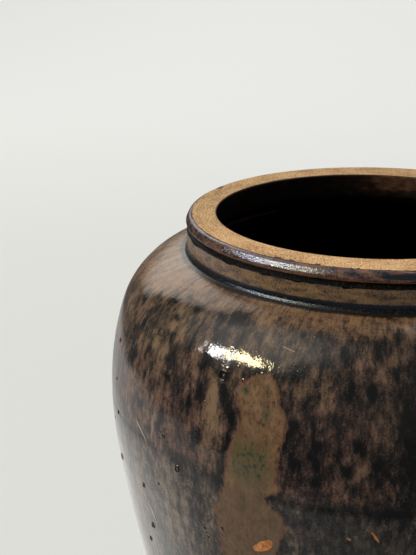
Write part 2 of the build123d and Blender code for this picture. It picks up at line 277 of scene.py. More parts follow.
# Places where the glaze swells round a blister or sags: the last value is how high, in millimetres
SWELLINGS = [
    (-30.0, 66.2, 4.2, 3.4, 0.34), (-29.8, 53, 1.6, 5.0, -0.2), (-35.0, 57, 3.0, 3.0, 0.12),
    (-22.0, 58, 3.5, 3.0, 0.12), (-39.4, 148, 5.0, 5.0, 0.2), (-44.0, 127, 5.0, 6.0, 0.2),
    (-45.0, 143, 4.0, 4.0, -0.15), (-38.0, 140, 4.0, 3.0, 0.16), (-50.0, 138, 5.0, 3.5, -0.15),
    (-36.0, 152, 4.0, 3.5, 0.15),
]

SEAM_FRONT = 146 * MM
SEAM_RISE = 6 * MM
SEAM_SPREAD = radians(24)
BAND_RUN = 25 * MM


def seam_run(azimuth):
    """Run of the belly's luted seam, which dips at the front by a bell curve."""
    bell = np.exp(-((apart(azimuth, 0) / SEAM_SPREAD) ** 2))
    return SEAM_FRONT - SEAM_RISE * (1 - bell)


def cloud(azimuth, run, width, length, seed):
    """Soft blotches about zero, so wide round the belly and so long down it: three quarters of the
    sum of a ripple and a second one set half a blotch aside, read where a slower one has pushed
    them."""
    cells = round(TURN * BELLY_RADIUS / width)
    push = 0.45 * ripple(azimuth, run, max(4, cells // 3), 2 * length, seed + 500)
    azimuth, run = azimuth + push * width / BELLY_RADIUS, run + push * length
    first = ripple(azimuth, run, cells, length, seed)
    second = ripple(azimuth + width / 2 / BELLY_RADIUS, run + length / 2, cells, length, seed + 900)
    return 0.75 * (first + second)


def on_wall(azimuth, run, degrees_round, middle):
    """Lengths across and down the wall from a mark's middle."""
    middle = middle * MM
    return apart(azimuth, radians(degrees_round)) * float(wall(middle)[0]), run - middle


def soft_tones(azimuth, run, marks):
    """Sum of soft ellipses, each as high as its last value: e to the power of less the cube of the
    share of the way out."""
    field = np.zeros(np.shape(azimuth))
    for degrees_round, middle, half_width, half_length, amount in marks:
        across, along = on_wall(azimuth, run, degrees_round, middle)
        share = np.hypot(across / (half_width * MM), along / (half_length * MM))
        field += amount * np.exp(-(share**3))
    return field


def dark_run(azimuth, run):
    """1 on the dark run, which wanders from each listed place to the next, and 0 beside it, falling
    off as e to the power of less the cube of the share of the way out. It is weaker in its lower
    part."""
    degrees_round, runs, halves = np.array(DARK_RUN).T
    centre = np.interp(run, runs * MM, np.radians(degrees_round))
    half = np.interp(run, runs * MM, halves * MM)
    across = apart(azimuth, centre) * BELLY_RADIUS
    across = across + 1.2 * MM * cloud(azimuth, run, 6 * MM, 9 * MM, 27)
    ends = eased(run, (runs[0] - 4) * MM, runs[0] * MM) * (1 - eased(run, 140 * MM, 156 * MM))
    ends = ends * (1 - 0.45 * eased(run, 92 * MM, 112 * MM))
    return ends * np.exp(-0.7 * np.abs(across / half) ** 3)


def inside_outline(azimuth, run, outline):
    """Length in from an outline's edge, negative outside: the shortest of the ways to its left and
    right edges, which go straight from one listed run to the next, and to its two ends."""
    runs, left, right = np.array(outline).T
    left = np.interp(run, runs * MM, np.radians(left))
    right = np.interp(run, runs * MM, np.radians(right))
    sideways = ((right - left) / 2 - np.abs(apart(azimuth, (left + right) / 2))) * BELLY_RADIUS
    return np.minimum(sideways, np.minimum(run - runs[0] * MM, runs[-1] * MM - run))


def patches(azimuth, run):
    """0 outside the ochre patches, 1 inside, a half on their outlines, which noise draws out of
    true. The patches of the hidden side are ellipses that a slower noise bends."""
    waver = 1.6 * MM * cloud(azimuth, run, 9 * MM, 12 * MM, 16)
    waver = waver + 1.0 * MM * cloud(azimuth, run, 3.5 * MM, 5 * MM, 17)
    inside = (inside_outline(azimuth, run, LARGE_PATCH) + waver) / (7 * MM)
    drift = 5 * MM * cloud(azimuth, run, 22 * MM, 34 * MM, 19)
    for degrees_round, middle, half_width, half_length in HIDDEN_PATCHES:
        bent, lowered = azimuth + drift / BELLY_RADIUS, run + 2 * drift
        across, along = on_wall(bent, lowered, degrees_round, middle)
        share = np.hypot(across / (half_width * MM), along / (half_length * MM))
        inside = np.maximum(inside, ((1 - share) * half_width * MM + waver) / (7 * MM))
    return np.clip(0.5 + inside, 0, 1)


def chipped(azimuth, run):
    """1 in the middle of a chip, a half on its outline, an ellipse that leans and that noise draws
    out of true, and 0 half as far again outside."""
    field = np.zeros(np.shape(azimuth))
    for degrees_round, middle, half_width, half_length, lean in CHIPS:
        across, along = on_wall(azimuth, run, degrees_round, middle)
        across = across + 0.3 * half_width * MM * cloud(azimuth, run, 4 * MM, 4 * MM, 18)
        turn = radians(lean)
        aside = (across * cos(turn) + along * sin(turn)) / (half_width * MM)
        ahead = (along * cos(turn) - across * sin(turn)) / (half_length * MM)
        field = np.maximum(field, np.clip(1.5 - np.hypot(aside, ahead), 0, 1))
    return field


# Azimuths, in degrees, between which the photograph doesn't show the jar
HIDDEN_SIDE = (16, 280)


def scattered(seed, count, half_widths, half_lengths, runs):
    """Marks strewn by chance over the hidden side."""
    chance = np.random.default_rng(seed)
    ranges = [HIDDEN_SIDE, runs, half_widths, half_lengths]
    return [tuple(chance.uniform(*limits) for limits in ranges) for _ in range(count)]


HIDDEN_PATCHES = scattered(11, 9, (5, 11), (32, 80), (60, 230))
strewn = scattered(14, 190, (3, 7), (5, 18), (26, 320))
amounts = np.random.default_rng(15).uniform(-1.5, 0.9, len(strewn)).tolist()
HIDDEN_TONES = [(*mark, amount) for mark, amount in zip(strewn, amounts)]
HIDDEN_GREEN = [
    (place, middle + 0.4 * half_length, 0.9 * half_width, 0.6 * half_length, 0.8)
    for place, middle, half_width, half_length in HIDDEN_PATCHES
]

COAT_MEAN = -0.27 * MM
COAT_LOWEST = -0.62 * MM
COAT_HIGHEST = -0.03 * MM
CHIP_DEPTH = 0.5 * MM


def coat_lift(azimuth, run):
    """Lift of the outer glaze: an uneven coat, thick runs that hang down the wall, faint throwing
    rings, the sunk line of the belly's seam with the clay pushed up beside it, and swellings."""
    lift = COAT_MEAN + 0.08 * MM * ripple(azimuth, run, 22, 46 * MM, 21)
    lift += 0.035 * MM * ripple(azimuth, run, 190, 52 * MM, 22)
    lift += 0.045 * MM * ripple(azimuth, run, 420, 12 * MM, 23)
    rings = np.sin(TURN * run / OUTER_RINGS + 1.5 * ripple(azimuth, run, 5, 60 * MM, 24))
    lift += 0.03 * MM * rings * eased(run, 8 * MM, 40 * MM)
    from_seam = run - seam_run(azimuth) - 0.8 * MM * ripple(azimuth, 0, 40, 1, 25)
    lift -= 0.14 * MM * np.exp(-((from_seam / (2.6 * MM)) ** 2))
    lift += 0.07 * MM * np.exp(-(((from_seam - 6 * MM) / (4 * MM)) ** 2))
    lift -= CHIP_DEPTH * eased(chipped(azimuth, run), 0.4, 0.62)
    return np.clip(lift, COAT_LOWEST, COAT_HIGHEST) + MM * soft_tones(azimuth, run, SWELLINGS)


def columns_round(count, fine_share=FINE_SHARE):
    """Azimuths of the columns: an even round less a sine, which draws them together on one side."""
    even = np.arange(count) / count * TURN
    return even + FINE_SIDE - fine_share * np.sin(even)


AZIMUTHS = columns_round(COLUMNS)


def turned(azimuth, radius, height):
    """Points: radius times the azimuth's sine, less radius times its cosine, and the height."""
    azimuth, radius, height = np.broadcast_arrays(azimuth, radius, height)
    return np.stack([radius * np.sin(azimuth), -radius * np.cos(azimuth), height], axis=-1)


def shell_mesh(name, points, poles=None, fields=(), sharp_rows=()):
    """Closed mesh over rows of points round the jar, where every cell of four neighbours is a face
    and the last column joins the first. Without poles the last row joins the first too. With poles,
    a fan closes the first row at the first pole and the last row at the second. Shading is smooth
    but for a crease along each sharp row."""
    rows, columns = points.shape[:2]
    index = np.arange(rows * columns).reshape(rows, columns)
    beside = np.roll(index, -1, axis=1)
    below, below_beside = np.roll(index, -1, axis=0), np.roll(beside, -1, axis=0)
    quads = np.stack([index, below, below_beside, beside], axis=-1)
    vertices = points.reshape(-1, 3)
    if poles is None:
        loops, lengths = quads.ravel(), np.full(rows * columns, 4)
    else:
        quads = quads[:-1].reshape(-1, 4)
        first, last = rows * columns, rows * columns + 1
        start_fan = np.stack([np.full(columns, first), index[0], beside[0]], axis=-1)
        end_fan = np.stack([index[-1], np.full(columns, last), beside[-1]], axis=-1)
        vertices = np.concatenate([vertices, np.array(poles)])
        loops = np.concatenate([quads.ravel(), start_fan.ravel(), end_fan.ravel()])
        lengths = np.concatenate([np.full(len(quads), 4), np.full(2 * columns, 3)])
    mesh = bpy.data.meshes.new(name)
    mesh.vertices.add(len(vertices))
    mesh.vertices.foreach_set("co", vertices.astype(np.float32).ravel())
    mesh.loops.add(len(loops))
    mesh.loops.foreach_set("vertex_index", loops.astype(np.int32))
    mesh.polygons.add(len(lengths))
    starts = np.concatenate([[0], np.cumsum(lengths)[:-1]])
    mesh.polygons.foreach_set("loop_start", starts.astype(np.int32))
    mesh.polygons.foreach_set("use_smooth", np.ones(len(lengths), dtype=bool))
    mesh.update(calc_edges=True)
    ends = np.empty(2 * len(mesh.edges), dtype=np.int32)
    mesh.edges.foreach_get("vertices", ends)
    row_of = ends.reshape(-1, 2) // columns
    sharp = (row_of[:, 0] == row_of[:, 1]) & np.isin(row_of[:, 0], sharp_rows)
    mesh.attributes.new("sharp_edge", "BOOLEAN", "EDGE").data.foreach_set("value", sharp)
    for field, values in dict(fields).items():
        kind, key = ("FLOAT_VECTOR", "vector") if values.ndim == 3 else ("FLOAT", "value")
        flat = values.reshape(-1, 3) if values.ndim == 3 else values.reshape(-1, 1)
        spare = np.zeros((len(vertices) - len(flat), flat.shape[1]))
        attribute = mesh.attributes.new(field, kind, "POINT")
        attribute.data.foreach_set(key, np.concatenate([flat, spare]).astype(np.float32).ravel())
    return mesh


def add_piece(mesh, material, replaced=()):
    """Puts a mesh into the scene as a piece of the jar's body, with its name and a finish."""
    piece = bpy.data.objects.new(mesh.name, mesh)
    bpy.context.scene.collection.objects.link(piece)
    mesh.materials.append(material)
    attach(piece, "root")
    if replaced:
        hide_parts(*replaced)


FLOW_RADIUS = 200 * MM


def flow_at(azimuth, run):
    """Place on a drum whose height is the run, so that a pattern runs down the glaze."""
    return turned(azimuth, FLOW_RADIUS, run)


# Materials. These are the kinds of node that they use most, then settings that many nodes share: a
# source times a weight added to a value, two colours mixed, and a range with eased ends.
ATTRIBUTE, PLACE, CELLS = "ShaderNodeAttribute", "ShaderNodeTexCoord", "ShaderNodeTexVoronoi"
MATH, MIX = "ShaderNodeMath", "ShaderNodeMix"
RAMP, RANGE = "ShaderNodeValToRGB", "ShaderNodeMapRange"
VECTOR, RAY = "ShaderNodeVectorMath", "ShaderNodeLightPath"
ADDED = {"operation": "MULTIPLY_ADD"}
COLOURED = {"output": 2, "data_type": "RGBA"}
EASED = {"interpolation_type": "SMOOTHSTEP"}


def node(tree, kind, inputs=(), output=0, stops=(), **settings):
    """Adds a node with its settings and a ramp's stops, sets or links its inputs, and gives one of
    its outputs."""
    made = tree.nodes.new(kind)
    for key, value in settings.items():
        setattr(made, key, value)
    for key, value in dict(inputs).items():
        if isinstance(value, bpy.types.NodeSocket):
            tree.links.new(value, made.inputs[key])
        else:
            made.inputs[key].default_value = value
    for _ in stops[2:]:
        made.color_ramp.elements.new(0.5)
    for index, (position, code) in enumerate(stops):
        made.color_ramp.elements[index].position = position
        made.color_ramp.elements[index].color = hex_colour(code)
    return made.outputs[output]


def finish(name, **sockets):
    """A new material with its shader's sockets set: the material, what adds a node to it, and its
    shader."""
    material = bpy.data.materials.new(name)
    material.use_nodes = True
    shader = material.node_tree.nodes["Principled BSDF"]
    for socket, value in sockets.items():
        shader.inputs[socket.replace("_", " ")].default_value = value
    return material, partial(node, material.node_tree), shader


def summed(add, value, *parts):
    """The value plus each part's source times its weight."""
    for source, weight in parts:
        value = add(MATH, {0: source, 1: weight, 2: value}, **ADDED)
    return value


def mottle(add, place, width, length, detail=2.0, roughness=0.5):
    """Mottle about zero, in blotches so wide and so long: noise on squeezed places."""
    across, along = 1 / width, 1 / length
    squeezed = add("ShaderNodeMapping", {0: place, "Scale": (across, across, along)})
    inputs = {"Vector": squeezed, "Scale": 1.0, "Detail": detail, "Roughness": roughness}
    return add("ShaderNodeTexNoise", inputs, normalize=False)


def surfaced(add, shader, relief, depth, **linked):
    """Links sockets of a finish's shader and gives it its relief, whose unit stands so high."""
    linked["Normal"] = add("ShaderNodeBump", {"Strength": 1.0, "Distance": depth, "Height": relief})
    for socket, value in linked.items():
        shader.id_data.links.new(value, shader.inputs[socket.replace("_", " ")])


GLAZE_IOR = 1.6


def outer_glaze():
    """Iron glaze, dipped, run and fired in a wood kiln: brown where it is thin, black in its runs,
    ochre where the iron has come out, and glassy all over with a faint orange peel and pinholes."""
    material, add, shader = finish("iron_glaze_dipped_and_run", IOR=GLAZE_IOR)
    flow = add(ATTRIBUTE, output="Vector", attribute_name="flow")
    names = ("tone", "warm", "band", "low", "ochre", "green", "bare")
    tone, warm, band, low, ochre, green, bare = (
        add(ATTRIBUTE, output="Fac", attribute_name=name) for name in names
    )
    blotches = mottle(add, flow, 5.5 * MM, 9 * MM, 2)
    streaks = mottle(add, flow, 2.0 * MM, 6 * MM, 2)
    grain = mottle(add, flow, 1.0 * MM, 1.4 * MM, 2)
    wiped = mottle(add, flow, 26 * MM, 1.5 * MM, 2)
    tone = summed(add, tone, (blotches, 0.31), (streaks, 0.24), (grain, 0.24))
    olive = [(0.02, "0b0c0f"), (0.3, "282523"), (0.5, "463c34"), (0.7, "625345"), (1.0, "806d5a")]
    russet = [(0.02, "0b0c10"), (0.3, "2a2426"), (0.5, "4a3936"), (0.7, "67504a"), (1.0, "82675e")]
    olive_glaze = add(RAMP, {0: tone}, stops=olive)
    russet_glaze = add(RAMP, {0: tone}, stops=russet)
    colour = add(MIX, {0: warm, 6: olive_glaze, 7: russet_glaze}, **COLOURED)
    # Band under the crease: lighter glaze, partly a painted reflection of the pale room
    wiped_tone = add(MATH, {0: wiped, 1: 0.14, 2: tone}, **ADDED)
    band_sheen_stops = [(0.06, "2a211a"), (0.28, "574335"), (0.5, "775d48"), (0.85, "957659")]
    band_sheen_glaze = add(RAMP, {0: wiped_tone}, stops=band_sheen_stops)
    colour = add(MIX, {0: band, 6: colour, 7: band_sheen_glaze}, **COLOURED)
    # Below the seam: duller glaze, lightened towards a neutral grey as a painted reflection of the
    # floor
    low_veil_stops = [(0.06, "0e1015"), (0.38, "2d2d30"), (0.6, "494240"), (0.95, "796d65")]
    low_glaze_and_veil = add(RAMP, {0: tone}, stops=low_veil_stops)
    colour = add(MIX, {0: low, 6: colour, 7: low_glaze_and_veil}, **COLOURED)

    # Patches: their edges fray along the streaks, with a red rim just inside
    frayed = add(MATH, {0: streaks, 1: 0.30, 2: ochre}, **ADDED)
    speck = mottle(add, flow, 2.6 * MM, 3.8 * MM, 4, 0.65)
    shade = summed(add, 0.5, (speck, 0.28), (blotches, 0.24))
    brown_stops = [(0.15, "4b3b31"), (0.5, "745c48"), (0.85, "8f735d")]
    brown = add(RAMP, {0: shade}, stops=brown_stops)
    green_here = add(MATH, {0: speck, 1: 0.48, 2: green}, **ADDED)
    green_stops = [(0.2, "685740"), (0.65, "615740"), (0.9, "50503f"), (1.0, "37403b")]
    greenish = add(RAMP, {0: green_here}, stops=green_stops)
    green_share = add(RANGE, {0: green_here, 1: 0.1, 2: 0.8}, **EASED)
    patch = add(MIX, {0: green_share, 6: brown, 7: greenish}, **COLOURED)
    # Below the seam the patches grey over with the same painted reflection of the floor
    veil_share = add(MATH, {0: low, 1: 0.5}, operation="MULTIPLY")
    patch = add(MIX, {0: veil_share, 6: patch, 7: hex_colour("594c42")}, **COLOURED)
    rim_stops = [(0.42, "000000"), (0.52, "ffffff"), (0.6, "ffffff"), (0.75, "000000")]
    rim = add(RAMP, {0: frayed}, stops=rim_stops)
    rim = add(MATH, {0: rim, 1: 0.5}, operation="MULTIPLY")
    patch = add(MIX, {0: rim, 6: patch, 7: hex_colour("7c452e")}, **COLOURED)
    inside = add(RANGE, {0: frayed, 1: 0.2, 2: 0.75}, **EASED)
    colour = add(MIX, {0: inside, 6: colour, 7: patch}, **COLOURED)

    # Chips show the clay, dry and rough
    torn = add(MATH, {0: streaks, 1: 0.12, 2: bare}, **ADDED)
    bare_here = add(RANGE, {0: torn, 1: 0.42, 2: 0.50}, **EASED)
    clay = add(RAMP, {0: shade}, stops=[(0.3, "a8653a"), (0.5, "cb8a54"), (0.75, "dca06a")])
    colour = add(MIX, {0: bare_here, 6: colour, 7: clay}, **COLOURED)
    uneven = mottle(add, flow, 9 * MM, 20 * MM)
    gloss = add(RANGE, {0: uneven, 1: -0.5, 2: 0.5, 3: 0.03, 4: 0.11})
    wiped_gloss = add(MATH, {0: band, 1: 0.2, 2: gloss}, **ADDED)
    rough = add(MIX, {0: bare_here, 2: wiped_gloss, 3: 0.8}, data_type="FLOAT")

    # Orange peel about 2 mm across, finer grain on it, runs down the wall, and burst pinholes
    relief = mottle(add, flow, 2.2 * MM, 2.8 * MM, 1)
    runs_down = mottle(add, flow, 1.7 * MM, 24 * MM, 1)
    relief = summed(add, relief, (runs_down, 0.15), (grain, 0.45))
    distance = add(CELLS, {"Vector": flow, "Scale": 1 / (11 * MM)}, output="Distance")
    distance = add(MATH, {0: grain, 1: 0.05, 2: distance}, **ADDED)
    pinhole = add(RANGE, {0: distance, 1: 0.03, 2: 0.11}, **EASED)
    relief = summed(add, relief, (pinhole, 7.0), (bare_here, -6.0))
    surfaced(add, shader, relief, 0.03 * MM, Base_Color=colour, Roughness=rough)
    return material


OUTER_GLAZE = outer_glaze()


def glaze_fields(azimuth, run):
    """What the outer glaze's material reads at each point: its place down the flow, how light and
    how red it is, the plain band under the crease, lighter in part as a painted reflection, the
    duller glaze below the seam, greyed in part as a painted reflection of the floor, and the
    marks."""
    coarse = cloud(azimuth, run, 13 * MM, 30 * MM, 32)
    fine = cloud(azimuth, run, 5 * MM, 11 * MM, 33)
    pushed_azimuth = azimuth + 2.4 * MM / BELLY_RADIUS * cloud(azimuth, run, 7 * MM, 9 * MM, 38)
    pushed_run = run + 3.2 * MM * cloud(azimuth, run, 6 * MM, 10 * MM, 39)
    right = eased(apart(azimuth, 0), radians(-20), radians(-8)) * eased(run, 24 * MM, 50 * MM)
    tone = 0.38 * coarse + 0.17 * fine - 1.3 * dark_run(pushed_azimuth, run)
    tone = tone + soft_tones(pushed_azimuth, pushed_run, TONES + HIDDEN_TONES) - 0.22 * right
    tone = tone + 0.36 * right * (-0.3 - tone)
    from_seam = run - seam_run(azimuth) - 1.5 * MM * cloud(azimuth, 0, 16 * MM, 1, 34)
    seam_width = (4.0 + 2 * cloud(azimuth, 0, 30 * MM, 1, 35)) * MM
    tone = tone - 0.6 * np.exp(-((from_seam / seam_width) ** 2))
    tone = tone - 2 * (1 - eased(run, 4 * MM, 7.5 * MM))
    warm = 0.5 + 0.5 * cloud(azimuth, run, 44 * MM, 60 * MM, 36)
    warm = warm + 0.35 * eased(run, 60 * MM, 90 * MM)
    warm = warm + soft_tones(pushed_azimuth, pushed_run, COLOURS)
    # Lower edge of the lighter band, partly a painted reflection, which reaches furthest down on
    # the left
    band_end = BAND_RUN + 3 * MM * cloud(azimuth, 0, 26 * MM, 1, 31)
    band_end = band_end + 2 * MM * cloud(azimuth, run, 9 * MM, 12 * MM, 37)
    band_end = band_end + 26 * MM * np.exp(-((apart(azimuth, radians(-84)) / radians(26)) ** 2))
    return {
        "flow": flow_at(azimuth, run),
        "tone": 0.5 + 0.5 * tone,
        "warm": np.clip(warm - 0.35 * (1 - eased(run, 30 * MM, 60 * MM)), 0, 1),
        "band": 1 - eased(run, band_end - 10 * MM, band_end + 10 * MM),
        "low": eased(from_seam, -2 * MM, 6 * MM),
        "ochre": patches(azimuth, run),
        "green": soft_tones(azimuth, run, GREEN_MARKS + HIDDEN_GREEN),
        "bare": chipped(azimuth, run),
    }


HIDDEN_LIFT = -1.1 * MM


def skin(azimuth, runs, lift, back, inside_lift):
    """A skin's face down the wall at its lift, then back up inside at some of its rows: azimuths,
    runs and points."""
    lifts = np.concatenate([lift, np.full_like(runs[back], inside_lift)])
    runs = np.concatenate([runs, runs[back]])
    azimuth = np.broadcast_to(azimuth, runs.shape)
    return azimuth, runs, turned(azimuth, *wall(runs, lifts))


def wall_coat(name, runs):
    """A coat of glaze between two runs, which may vary round the jar."""
    lift = coat_lift(np.broadcast_to(AZIMUTHS, runs.shape), runs)
    azimuth, all_runs, points = skin(AZIMUTHS, runs, lift, [-1, len(runs) // 2, 0], HIDDEN_LIFT)
    borders = (0, len(runs) - 1)
    mesh = shell_mesh(name, points, fields=glaze_fields(azimuth, all_runs), sharp_rows=borders)
    add_piece(mesh, OUTER_GLAZE, ["outer_glaze"])


shares = np.linspace(0, 1, SHOULDER_ROWS)[:, None]
wall_coat("shoulder_glaze", shares * seam_run(AZIMUTHS))

FOOT_LINE = run_at_height(BARE_FOOT_HEIGHT)


def glaze_end(azimuth):
    """Run at which the glaze stops above the foot: a wavering line with a few drips."""
    end = FOOT_LINE + 3.5 * MM * ripple(azimuth, 0, 9, 1, 41)
    drips = ripple(azimuth, 0, 64, 1, 42)
    return end + 7 * MM * eased(drips, 0.45, 1.0)


shares = np.linspace(0, 1, LOWER_ROWS)[:, None] ** LOWER_ROWS_POWER
start, end = seam_run(AZIMUTHS), glaze_end(AZIMUTHS)
wall_coat("lower_wall_glaze", start + shares * (end - start))


# Lip: the mouth was cut by hand, a little off the jar's axis
MOUTH_RADIUS = 119.9 * MM
MOUTH_OFFSET = (-7.0 * MM, -1.7 * MM)


def mouth_edge(azimuth):
    """Radius from the jar's axis to a circle of MOUTH_RADIUS round an offset centre: the offset
    along the azimuth plus the root of the radius squared less the offset across it squared."""
    along = MOUTH_OFFSET[0] * np.sin(azimuth) - MOUTH_OFFSET[1] * np.cos(azimuth)
    across = MOUTH_OFFSET[0] * np.cos(azimuth) + MOUTH_OFFSET[1] * np.sin(azimuth)
    return along + np.sqrt(MOUTH_RADIUS**2 - across**2)


def lip_edge(azimuth):
    """Radius of the lip's outer edge, a circle that wavers."""
    waver = 0.22 * ripple(azimuth, 0, 23, 1, 51) + 0.1 * ripple(azimuth, 0, 120, 1, 52)
    return NECK_RADIUS - LIP_EDGE_INSET + waver * MM


def lip_clay():
    """Bare iron-bearing stoneware, wiped smooth before firing: sandy tan, toasted to orange on one
    side, with fine turning lines, dark iron specks and small open pits."""
    material, add, shader = finish("stoneware_lip_wiped_and_fired", Roughness=0.72)
    place = add(PLACE, output="Object")
    flow = add(ATTRIBUTE, output="Vector", attribute_name="flow")
    toast, edge = (add(ATTRIBUTE, output="Fac", attribute_name=name) for name in ("toast", "edge"))
    sand = mottle(add, place, 1.1 * MM, 1.1 * MM, 2, 0.6)
    turned_lines = mottle(add, flow, 40 * MM, 1.0 * MM, 1)
    tone = summed(add, 0.5, (sand, 1.0), (turned_lines, 0.25))
    blushed = mottle(add, place, 16 * MM, 16 * MM)
    tone = add(MATH, {0: blushed, 1: 0.25, 2: tone}, **ADDED)
    tan_stops = [(0.1, "7d5c36"), (0.38, "b58d5b"), (0.6, "c99f69"), (0.9, "e2c08f")]
    orange_stops = [(0.1, "9c6b38"), (0.38, "d8a469"), (0.6, "ebbb82"), (0.9, "fbdcb0")]
    tan = add(RAMP, {0: tone}, stops=tan_stops)
    orange = add(RAMP, {0: tone}, stops=orange_stops)
    colour = add(MIX, {0: toast, 6: tan, 7: orange}, **COLOURED)
    distance = add(CELLS, {"Vector": place, "Scale": 1 / (4 * MM)}, output="Distance")
    distance = add(MATH, {0: blushed, 1: 0.12, 2: distance}, **ADDED)
    speck = add(RANGE, {0: distance, 1: 0.16, 2: 0.06}, **EASED)
    colour = add(MIX, {0: speck, 6: colour, 7: hex_colour("553c29")}, **COLOURED)
    glazed = add(MATH, {0: sand, 1: 0.3, 2: edge}, **ADDED)
    glazed = add(RANGE, {0: glazed, 1: 0.42, 2: 0.62}, **EASED)
    colour = add(MIX, {0: glazed, 6: colour, 7: hex_colour("4a3129")}, **COLOURED)
    relief = summed(add, sand, (turned_lines, 0.4), (speck, -1.5))
    surfaced(add, shader, relief, 0.09 * MM, Base_Color=colour)
    return material


def ringed(azimuth, line):
    """Points of a line over all azimuths, with which their radii and heights may vary."""
    return np.array([np.broadcast_arrays(*point, azimuth)[:2] for point in line])


def rounded(azimuth, corners, easings, steps=5):
    """Line through corners, each rounded by a parabola from a point the easing before it to a point
    the easing after it."""
    corners = ringed(azimuth, corners)
    line = []
    for index, (corner, easing) in enumerate(zip(corners, easings)):
        if not easing:
            line.append(corner)
            continue
        towards = [corners[index - 1] - corner, corners[(index + 1) % len(corners)] - corner]
        before, after = (corner + way * easing / np.hypot(*way) for way in towards)
        for t in np.linspace(0, 1, steps):
            line.append((1 - t) ** 2 * before + 2 * t * (1 - t) * corner + t**2 * after)
    return np.array(line)


def spread(azimuth, line):
    """Azimuths, radii and heights of a line's points all round."""
    return np.broadcast_to(azimuth, line[:, 0].shape), line[:, 0], line[:, 1]


def filled(line, longest):
    """The closed line with points added evenly where its stretches are longer than a length."""
    points = []
    for start, end in zip(line, np.roll(line, -1, axis=0)):
        pieces = max(1, int(np.ceil(np.hypot(*(end - start)).max() / longest)))
        for share in np.arange(pieces) / pieces:
            points.append(start + share * (end - start))
    return np.array(points)


def open_line(corners, easings, longest):
    """Open line all round through rounded corners, with points added along it: the closed one
    without the points on its way back."""
    line = rounded(AZIMUTHS, corners, easings)
    way_back = max(1, int(np.ceil(np.hypot(*(line[0] - line[-1])).max() / longest)))
    points = filled(line, longest)
    return points[: len(points) + 1 - way_back]


# Dark glaze that has crept over the lip's outer edge: azimuth, half width and reach inwards
LIP_NICKS = [
    (-113.0, 5.5, 4.0), (-92.4, 1.6, 2.6), (-96.5, 1.2, 2.0), (-5.2, 1.5, 2.2), (-28.0, 3.5, 2.4),
    (-23.9, 1.8, 2.6), (-16.2, 2.4, 2.6), (158.0, 7.0, 1.6), (60.0, 4.0, 2.5), (118.0, 2.5, 3.0),
]


def lip_ring():
    """Lip's clay: a ring between the mouth's hand-cut edge and the lip's outer edge, with rounded
    edges and a top that is crowned by the square of the way from its middle, and uneven."""
    azimuth = AZIMUTHS
    inner, outer = mouth_edge(azimuth), lip_edge(azimuth)
    top = TOP - 0.04 * MM
    bottom = GROOVE_HEIGHT + 0.6 * MM
    corners = [
        (inner + 0.5 * MM, bottom),
        (inner, top),
        (outer, top),
        (outer + 1.6 * MM, TOP - 3.2 * MM),
        (outer + 1.2 * MM, bottom),
    ]
    line = filled(rounded(azimuth, corners, (0, 1.5 * MM, 1.3 * MM, 0, 0)), 1.3 * MM)
    azimuth, radius, height = spread(azimuth, line)
    across = (radius - inner) / (outer - inner)
    on_top = eased(height, top - 0.3 * MM, top)
    sag = 0.10 * MM * (2 * across - 1) ** 2
    sag = sag + 0.05 * MM * (1 + ripple(azimuth, radius, 90, 5 * MM, 53))
    sag = sag + 0.04 * MM * (1 + ripple(azimuth, radius, 500, 2 * MM, 54))
    height = height - on_top * sag
    from_edge = outer - radius
    flecked = cloud(azimuth, 0, 7 * MM, 1, 55) + 0.5 * cloud(azimuth, 0, 2.5 * MM, 1, 56)
    fleck_width = (0.35 + 2.2 * eased(flecked, 0.5, 1.0)) * MM
    edge = (1 - eased(from_edge, 0.2 * fleck_width, fleck_width)) * on_top + (1 - on_top)
    for degrees_round, half_width, reach in LIP_NICKS:
        near = np.abs(apart(azimuth, radians(degrees_round))) * NECK_RADIUS / (half_width * MM)
        crept = eased(1 - near, 0, 0.4) * eased(reach * MM - from_edge, 0, 0.5 * MM)
        edge = np.maximum(edge, crept)
    toast = 0.15 + 0.85 * eased(np.cos(azimuth - radians(8)), -0.2, 0.95)
    fields = {"flow": flow_at(azimuth, radius), "edge": edge, "toast": toast}
    mesh = shell_mesh("lip_ring_clay", turned(azimuth, radius, height), fields=fields)
    add_piece(mesh, LIP_CLAY, ["lip_ring", "lip_joint_slip"])


LIP_CLAY = lip_clay()
lip_ring()


